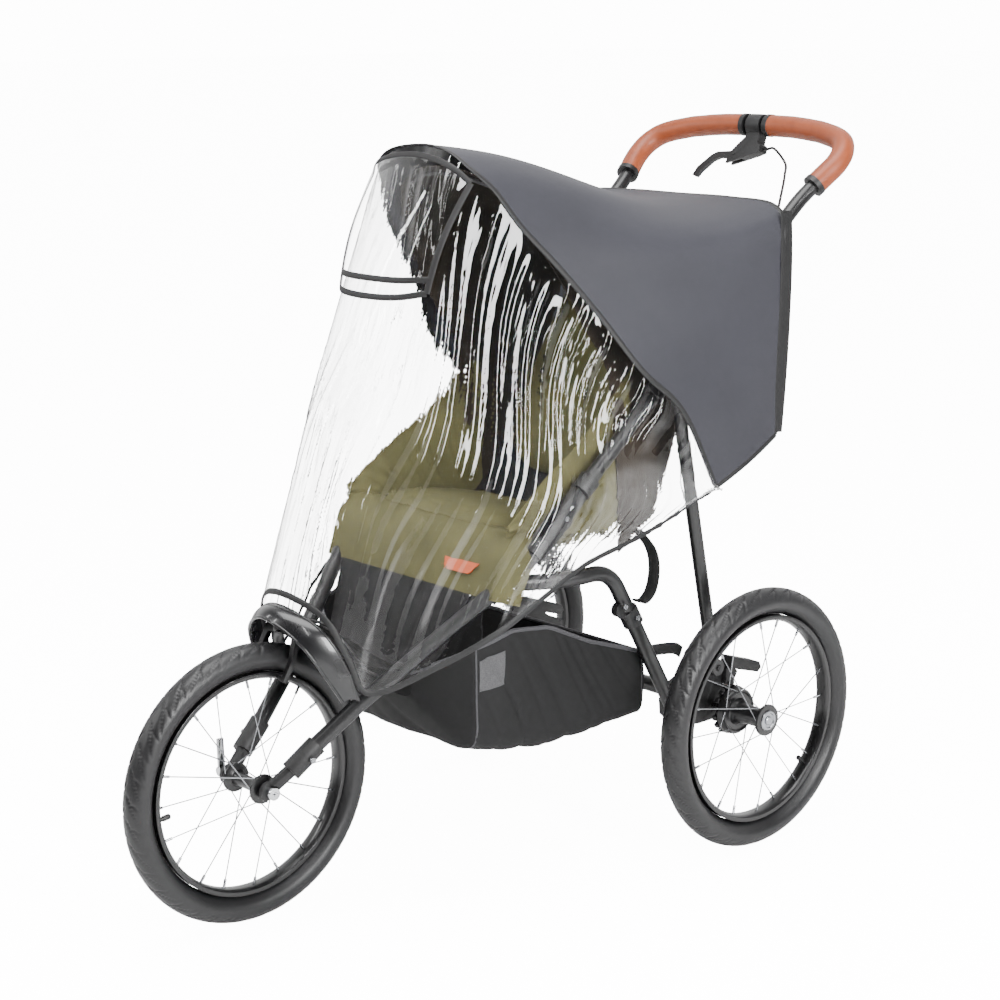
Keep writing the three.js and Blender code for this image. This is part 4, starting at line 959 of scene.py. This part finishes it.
def cushion_place(a, b, up):
    rise = np.interp(b, [0.300, 0.345, 0.545], [0.497, 0.520, 0.488])
    return np.stack([a, AXLE_Y + b, rise + up], -1)


cushion = build(
    "seat_cushion_padded", [pillow((0.168, 0.330, 0.552), 0.016, 0.024, cushion_place)], olive,
    "chassis", sharp=70,
)
puff(cushion, 0.006, most=0.006)
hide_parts("seat_cushion")
HINGE_ROD = JOINTS["seat_fold"]["pos_m"]
BACK_RISE = math.radians(57)


def back_place(a, b, up):
    narrow = 1 - 0.10 * np.clip((b - 0.30) / 0.15, 0, 1) ** 2
    channel = 0.004 * (np.exp(-((b - 0.17) / 0.006) ** 2) + np.exp(-((b - 0.31) / 0.006) ** 2)) * (up > 0)
    lift = up - channel
    return np.stack([
        a * narrow,
        HINGE_ROD[1] + b * math.cos(BACK_RISE) - lift * math.sin(BACK_RISE),
        HINGE_ROD[2] + b * math.sin(BACK_RISE) + lift * math.cos(BACK_RISE),
    ], -1)


back = build(
    "seat_back_padded", [pillow((0.152, 0.045, 0.442), 0.006, 0.026, back_place, 56, 56)], olive,
    "seat_back", sharp=70,
)
puff(back, 0.006, most=0.006)
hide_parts("seat_back")
PANEL_HALF, PANEL_LOW, PANEL_HIGH = 0.152, -0.022, 0.470
panel_across, panel_up = np.meshgrid(
    np.linspace(PANEL_HALF, -PANEL_HALF, 61), np.linspace(PANEL_LOW, PANEL_HIGH, 70),
)
panel_crease = folds(panel_across * 6, panel_up * 6, [(3, 0.2, 0.5, 1), (5, 0.7, 0.4, 0.5)], 0.5)
panel_grid = back_place(panel_across, panel_up, -0.001 + 0.001 * panel_crease)
panel = build("seat_back_panel", [shell(panel_grid, 1.2)], black_cloth, "seat_back", sharp=70)
for place, side in SIDES:
    low_edge = smooth_line([at(side * x, y, z) for x, y, z in (
        (180, 322, 528), (174, 390, 522), (168, 470, 508), (160, 548, 500), (160, 578, 520))], 70)
    top_edge = smooth_line([at(side * x, y, z) for x, y, z in (
        (184, 326, 546), (176, 400, 598), (172, 470, 640), (170, 530, 690), (168, 588, 742))], 70)
    share = np.linspace(0, 1, 36)[:, None]
    along = np.linspace(0, 1, 70)[None, :]
    pleats = folds(along + 0.25 * share, share, [(4, 0.15, 0.3, 1), (7, 0.7, 0.5, 0.6)], 5)
    wing_grid = off_surface(between(low_edge, top_edge, 36), pleats * np.sin(np.pi * share) ** 0.6)
    wing = build(f"seat_wing_{place}", [shell(wing_grid, 1.8)], olive, "chassis", sharp=70)
    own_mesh(wing)
tab_corners = [
    at(x, y, z)
    for x, y, z in ((78, 298.6, 487), (150, 299.0, 489), (132, 294.0, 472), (84, 293.6, 471))
]
tab_grid = between(np.stack(tab_corners[:2]), np.stack(tab_corners[:1:-1]), 6)
tab = build("seat_tab", [shell(tab_grid, 1.6)], leather_tab, "chassis")

# ---------------------------------------------------------------- basket
# A black cloth bin under the seat whose rim sags between its corners, with grey piping on its
# edges and a mesh window at the front corner, painted light grey for the light that shows through it.
basket_cloth = paint("basket_cloth", (0.009, 0.009, 0.0095), 0.75, spread=0.15, shade=0.72, patch=10,
grain=500, bump=0.12,
                     Specular_IOR_Level=0.3)
piping_grey = paint("piping_grey", (0.05, 0.05, 0.055), 0.6, bump=0.2)
# y, half width, bottom z, rim z
BASKET_STATIONS = (
    (222, 88, 296, 332), (264, 180, 229, 378), (330, 182, 213, 392), (400, 182, 202, 384),
    (480, 182, 202, 346), (560, 182, 206, 318), (592, 182, 207, 306),
)
station_y = np.linspace(BASKET_STATIONS[0][0], BASKET_STATIONS[-1][0], 96)
half_line, low_line, rim_line = (
    np.interp(
        station_y, [station[0] for station in BASKET_STATIONS],
        [station[k] for station in BASKET_STATIONS],
    ) * MM
    for k in (1, 2, 3)
)
basket_line = np.stack([half_line, station_y * MM, low_line], -1)
SECTION = smooth_line([(-1, 1, 0), (-1.0, 0.5, 0), (-0.985, 0.09, 0), (-0.9, 0.0, 0), (-0.3, -0.03, 0),
(0, -0.04, 0), (
    0.3, -0.03, 0), (0.9, 0.0, 0), (0.985, 0.09, 0), (1.0, 0.5, 0), (1, 1, 0)], 121)[:, :2]
basket_grid = np.stack([
    basket_line[:, :1] * SECTION[None, :, 0],
    np.broadcast_to(AXLE_Y + basket_line[:, 1:2], (96, 121)),
    basket_line[:, 2:] + (rim_line[:, None] - basket_line[:, 2:]) * SECTION[None, :, 1],
], -1)
share_y, share_s = np.linspace(0, 1, 96)[:, None], np.linspace(0, 1, 121)[None, :]
basket_fold = folds(
    share_y * 0.9 + 0.1 * np.sin(6 * share_s), share_s * 3, [(5, 0.2, 0.5, 1), (9, 0.4, 0.8, 0.6)], 2.6,
)
basket_grid = off_surface(
    basket_grid, basket_fold * np.clip(6 * share_y, 0, 1) * np.clip(6 * (1 - share_y), 0, 1),
)
REAR_DEPTH = np.linspace(0, 1, 24)[:, None]
rear_rim = basket_grid[-1]
rear_top = np.stack([rear_rim[:, 0], rear_rim[:, 1], np.full(121, rim_line[-1])], -1)
rear_grid = rear_rim[None] * (1 - REAR_DEPTH[..., None]) + rear_top[None] * REAR_DEPTH[..., None]
rear_grid = rear_grid + np.array([0, 0.006, 0]) * (
    np.sin(np.pi * REAR_DEPTH) * np.sin(np.pi * share_s)
)[..., None]
front_rim = basket_grid[0]
front_top = np.stack([front_rim[:, 0], front_rim[:, 1], np.full(121, rim_line[0])], -1)
front_grid = front_rim[None] * (1 - REAR_DEPTH[..., None]) + front_top[None] * REAR_DEPTH[..., None]
basket = build(
    "basket_bin", [shell(basket_grid, 2), shell(rear_grid, 2), shell(front_grid, 2)], basket_cloth,
    "chassis", sharp=60,
)
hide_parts("basket")
CORNER_ROW = int(np.argmin(np.abs(station_y - 264)))
edges = [
    (basket_grid[:, 0], 3.2), (basket_grid[:, -1], 3.2), (basket_grid[-1], 1.6),
    (basket_grid[CORNER_ROW], 1.5),
]
edges.append((np.stack([basket_grid[-1, 0], basket_grid[-1, -1]]), 3.2))
pipings = [
    swept(smooth_line(edge[:: max(1, len(edge) // 24)], 80), ring_section(radius, 8), (0.3, 0.25, 1))
    for edge, radius in edges
]
piping = build("basket_piping", pipings, piping_grey, "chassis")
# The net's colour is far lighter than the bin's cloth: painted light for the bright background seen through
# the open mesh.
net_painted_light = paint("basket_net_painted_light", (0.10, 0.10, 0.105), 0.7, shade=0.4, patch=900, grain=2500, bump=1.0)
for place, side in SIDES:
    columns = slice(4, 14) if side < 0 else slice(-14, -4)
    outward = np.array([side * 0.0016, 0, 0])
    patch = shell(basket_grid[CORNER_ROW + 1:CORNER_ROW + 14, columns] + outward, 0.8)
    build(f"basket_net_painted_light_{place}", [patch], net_painted_light, "chassis")

# ---------------------------------------------------------------- hood
# A dark lining hung on a thin bow under the rain cover; the bow turns on two round hubs. Its sides
# reach down to the seat, their lowest part dark cloth put as painted shade for the shadow behind it.
lining = paint(
    "hood_lining", (0.022, 0.016, 0.011), 0.85, spread=0.1, shade=0.7, patch=10, grain=500, bump=0.12,
    Specular_IOR_Level=0.2,
)
BOW_PIVOT = JOINTS["hood_turn"]["pos_m"]
BOW_HALF = 166
BOW_TOP = (368, 1020)
bow_way = at(0, *BOW_TOP) - np.array([0, BOW_PIVOT[1], BOW_PIVOT[2]])
BOW_LINE = ((1, 0), (1, 0.2), (1, 0.42), (0.92, 0.62), (0.79, 0.79), (0.58, 0.91), (0.3, 0.98))


def on_bow(share_x, share):
    return np.array([share_x * BOW_HALF * MM, BOW_PIVOT[1], BOW_PIVOT[2]]) + bow_way * share


bow_points = [on_bow(x, r) for x, r in BOW_LINE] + [on_bow(0, 1)] + [on_bow(-x, r) for x, r in BOW_LINE[::-1]]
bow = build(
    "hood_bow_wire", [swept(smooth_line(bow_points, 120), ring_section(2.8, 12), (0, 1, 0.2))], moulded,
    "hood_bow",
)
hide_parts("hood_bow")
# The first point of each line stretches the dark sides lower, as painted shade for the shadow behind the
# seat.
hood_front = arch([
    (
        164, 560, 462,
    ), (166, 556, 560), (167, 545, 650), (167, 530, 742), (164, 488, 806), (156, 446, 880), (134, 408, 945),
    (108, 382, 994), (60, 372, 1022), (0, 370, 1030),
], 130)
hood_back = arch(
    [
        (158, 636, 500), (163, 655, 560), (164, 690, 650), (164, 728, 740), (164, 764, 830),
        (160, 798, 886), (130, 812, 910), (70, 816, 918), (0, 816, 918),
    ],
    130,
)
hood_grid = between(hood_front, hood_back, 50)
w = np.linspace(0, 1, 130)[None, :]
u = np.linspace(0, 1, 50)[:, None]
hood_fold_height = folds(w * 2, u, [(5, 0.3, 0.6, 1), (8, 0.8, 0.4, 0.5)], 2.5)
hood_grid = off_surface(hood_grid, hood_fold_height * np.sin(np.pi * u))
hood = build("hood_cloth_with_painted_shade", [shell(hood_grid, 1.8)], lining, "handle_frame", sharp=70)
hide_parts("hood_fabric")
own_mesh(hood)

# ---------------------------------------------------------------- rain cover, cloth half
# Charcoal cloth from the seam over the bow to the push bar; black binding along its edges and
# a black strip hanging at its rear corner.
charcoal = paint("cover_cloth", (0.034, 0.034, 0.043), 0.55, spread=0.12, shade=0.86, patch=5, grain=900,
bump=0.12,
                 Specular_IOR_Level=0.35)
binding = paint("cover_binding", (0.007, 0.007, 0.0075), 0.55, shade=0.8, bump=0.25)
COVER_HALF = 244
SAG = 12
SEAM = (
    (COVER_HALF, 684, 555), (COVER_HALF + 1, 606, 683), (232, 541, 743), (198, 489, 823), (173, 436, 892),
    (146, 385, 955), (121, 357, 1006), (98, 335, 1034), (66, 330, 1053), (0, 337, 1062),
)
REAR_EDGE = (
    (
        COVER_HALF - 4, 820, 615,
    ), (COVER_HALF - 6, 828, 740), (COVER_HALF - 9, 838, 870), (226, 845, 938), (198, 852, 957),
    (110, 856, 963), (0, 857, 963),
)
HEM = (
    (
        COVER_HALF - 1, 680, 552,
    ), (239, 613, 528), (232, 539, 503), (226, 429, 477), (223, 361, 447), (210, 288, 408),
    (168, 214, 364), (112, 124, 330), (98, 106, 376), (72, 84, 436), (0, 64, 462),
)
COLUMNS = 360
seam_line, rear_line, hem_line = (arch(points, COLUMNS) for points in (SEAM, REAR_EDGE, HEM))
w = np.linspace(0, 1, COLUMNS)[None, :]
u = np.linspace(0, 1, 90)[:, None]
cloth_grid = between(seam_line, rear_line, 90)
crown = np.sin(np.pi * w) ** 3
cloth_grid[..., 0] *= 1 + 0.02 * np.sin(np.pi * u)
cloth_grid[..., 2] += SAG * MM * crown * (np.sin(2 * np.pi * u) - np.sin(np.pi * u))
soft_fold = folds(w * 0.7 + 0.2 * u, u, [(3, 0.1, 0.5, 1), (5, 0.5, 0.9, 0.5)], 1.2, 1.5)
cloth_grid = off_surface(
    cloth_grid, soft_fold * np.sin(np.pi * u) ** 0.5 * np.clip(8 * np.minimum(w, 1 - w), 0, 1),
)
cover = build("cover_cloth_back", [shell(cloth_grid, 1.6)], charcoal, "handle_frame", sharp=70)
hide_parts("rain_cover_cloth")
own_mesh(cover)


def oval(width, thick, sides=12):
    angle = np.linspace(0, 2 * np.pi, sides, endpoint=False)
    return np.stack([thick / 2 * np.cos(angle), width / 2 * np.sin(angle)], -1)


def edging(name, lines, width, thick, body, material=binding):
    """Flat oval tape along lines; each line comes with the direction that the tape's width follows."""
    parts = []
    for line, direction in lines:
        ahead = np.gradient(line, axis=0)
        ahead = ahead / np.linalg.norm(ahead, axis=1, keepdims=True)
        across = direction - np.sum(direction * ahead, 1, keepdims=True) * ahead
        across = across / np.linalg.norm(across, axis=1, keepdims=True)
        parts.append(swept(line, oval(width, thick), across))
    return build(name, parts, material, body)


cloth_edge = edging("cover_cloth_binding", [
    (cloth_grid[0], cloth_grid[1] - cloth_grid[0]),
    (cloth_grid[-1], cloth_grid[-1] - cloth_grid[-2]),
    (cloth_grid[:, 0], cloth_grid[:, 1] - cloth_grid[:, 0]),
    (cloth_grid[:, -1], cloth_grid[:, -2] - cloth_grid[:, -1]),
], 9, 3.2, "handle_frame")
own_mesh(cloth_edge)

# ---------------------------------------------------------------- rain cover, clear half
# Clear vinyl from the seam down to the hem: long creases fan out from the seam and gather at the
# hem. A small visor flap with a black border stands off it below the bow.
vinyl = paint("clear_vinyl", (1.0, 1.0, 1.0), 0.02, spread=0.02, shade=1.0, patch=6, grain=38, bump=0.6,
              Transmission_Weight=1.0, IOR=1.48)
tree = vinyl.node_tree
clear, mixed, ray = (
    tree.nodes.new(kind)
    for kind in ("ShaderNodeBsdfTransparent", "ShaderNodeMixShader", "ShaderNodeLightPath")
)
tree.links.new(ray.outputs["Is Shadow Ray"], mixed.inputs["Fac"])
tree.links.new(tree.nodes["Principled BSDF"].outputs["BSDF"], mixed.inputs[1])
tree.links.new(clear.outputs["BSDF"], mixed.inputs[2])
tree.links.new(mixed.outputs["Shader"], tree.nodes["Material Output"].inputs["Surface"])
u = np.linspace(0, 1, 100)[:, None]
window_grid = between(seam_line, hem_line, 100, (0, 0, 0))
bulge = 8 * MM * np.sin(np.pi * u) * np.sin(np.pi * w)
window_grid[..., 1] -= bulge
window_grid[..., 0] *= 1 + 0.06 * np.sin(np.pi * u)
gather = w + 0.012 * np.sin(3 * np.pi * u + 9 * w)
sharp_folds = folds(
    gather, u, [(34, 0.1, 0.7, 1), (53, 0.4, 1.1, 0.9), (21, 0.7, 0.5, 1.4), (80, 0.2, 1.6, 0.5)], 3.2,
    2.4,
)
sharp_folds += 0.5 * np.sin(70 * w + 5 * np.sin(9 * u)) * np.sin(16 * u + 4 * np.sin(23 * w))
patches = 0.55 + 0.45 * np.sin(11 * w + 2 * np.sin(7 * u)) * np.sin(5 * u + 3)
window_grid = off_surface(
    window_grid, sharp_folds * patches * np.clip(12 * u, 0, 1) * np.clip(10 * (1 - u), 0.15, 1),
)
window = build("cover_window", [shell(window_grid, 0.5)], vinyl, "chassis", sharp=75)
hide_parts("rain_cover_window")
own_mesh(window)
hem_edge = edging(
    "cover_hem_binding", [(window_grid[-1], window_grid[-1] - window_grid[-2])], 9, 3.4, "chassis",
)
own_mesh(hem_edge)
flap_top = arch([(108, 328, 1014), (80, 316, 1036), (0, 314, 1050)], 70)
flap_bottom = arch([(96, 256, 868), (62, 232, 862), (0, 222, 860)], 70)
flap_grid = between(flap_top, flap_bottom, 40, (0, -0.010, 0))
flap = build("visor_flap", [shell(flap_grid, 0.6)], vinyl, "window_flap", sharp=75)
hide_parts("window_flap")
BAND_ROW = 34
flap_edge = edging("visor_binding", [
    (flap_grid[-1], flap_grid[-1] - flap_grid[-2]),
    (flap_grid[BAND_ROW], flap_grid[-1] - flap_grid[-2]),
    (flap_grid[:, 0], flap_grid[:, 1] - flap_grid[:, 0]),
    (flap_grid[:, -1], flap_grid[:, -2] - flap_grid[:, -1]),
    (flap_grid[0], flap_grid[1] - flap_grid[0]),
], 9, 2.6, "window_flap")
for flap_piece in (flap, flap_edge):
    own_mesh(flap_piece)

# ---------------------------------------------------------------- straps
# Black webbing: a loop at each leg clamp, a strap from the basket's rear corner to each leg, and
# the strip at the rear corner of the cover.
webbing = paint("webbing", (0.008, 0.008, 0.0085), 0.65, shade=0.7, patch=40, grain=2600, bump=0.6)
for place, side in SIDES:
    loop = smooth_line([at(side * x, y, z) for x, y, z in (
        (199, 566, 500), (206, 586, 470), (208, 591, 440), (206, 584, 405), (203, 568, 392),
        (201, 560, 398))], 60)
    web = edging(
        f"leg_strap_{place}", [(loop, np.tile([side * 1.0, 0.1, 0.0], (60, 1)))], 22, 1.6, "chassis",
        webbing,
    )
    rear = smooth_line(
        [
            at(side * x, y, z)
            for x, y, z in ((183, 592, 304), (190, 615, 306), (195, 650, 302), (188, 672, 290))
        ],
        30,
    )
    tie = edging(
        f"basket_strap_{place}", [(rear, np.tile([0.0, 0.3, 1.0], (30, 1)))], 18, 1.6, "chassis",
        webbing,
    )
    fall = smooth_line([at(side * x, y, z) for x, y, z in (
        (228, 848, 950), (236, 842, 880), (239, 836, 780), (240, 829, 690), (240, 822, 618))], 60)
    strip = edging(
        f"cover_strip_{place}", [(fall, np.tile([0.0, 1.0, 0.1], (60, 1)))], 26, 2.0, "handle_frame",
        binding,
    )
    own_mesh(strip)
for material in list(bpy.data.materials):
    if material.users == 0:
        bpy.data.materials.remove(material)
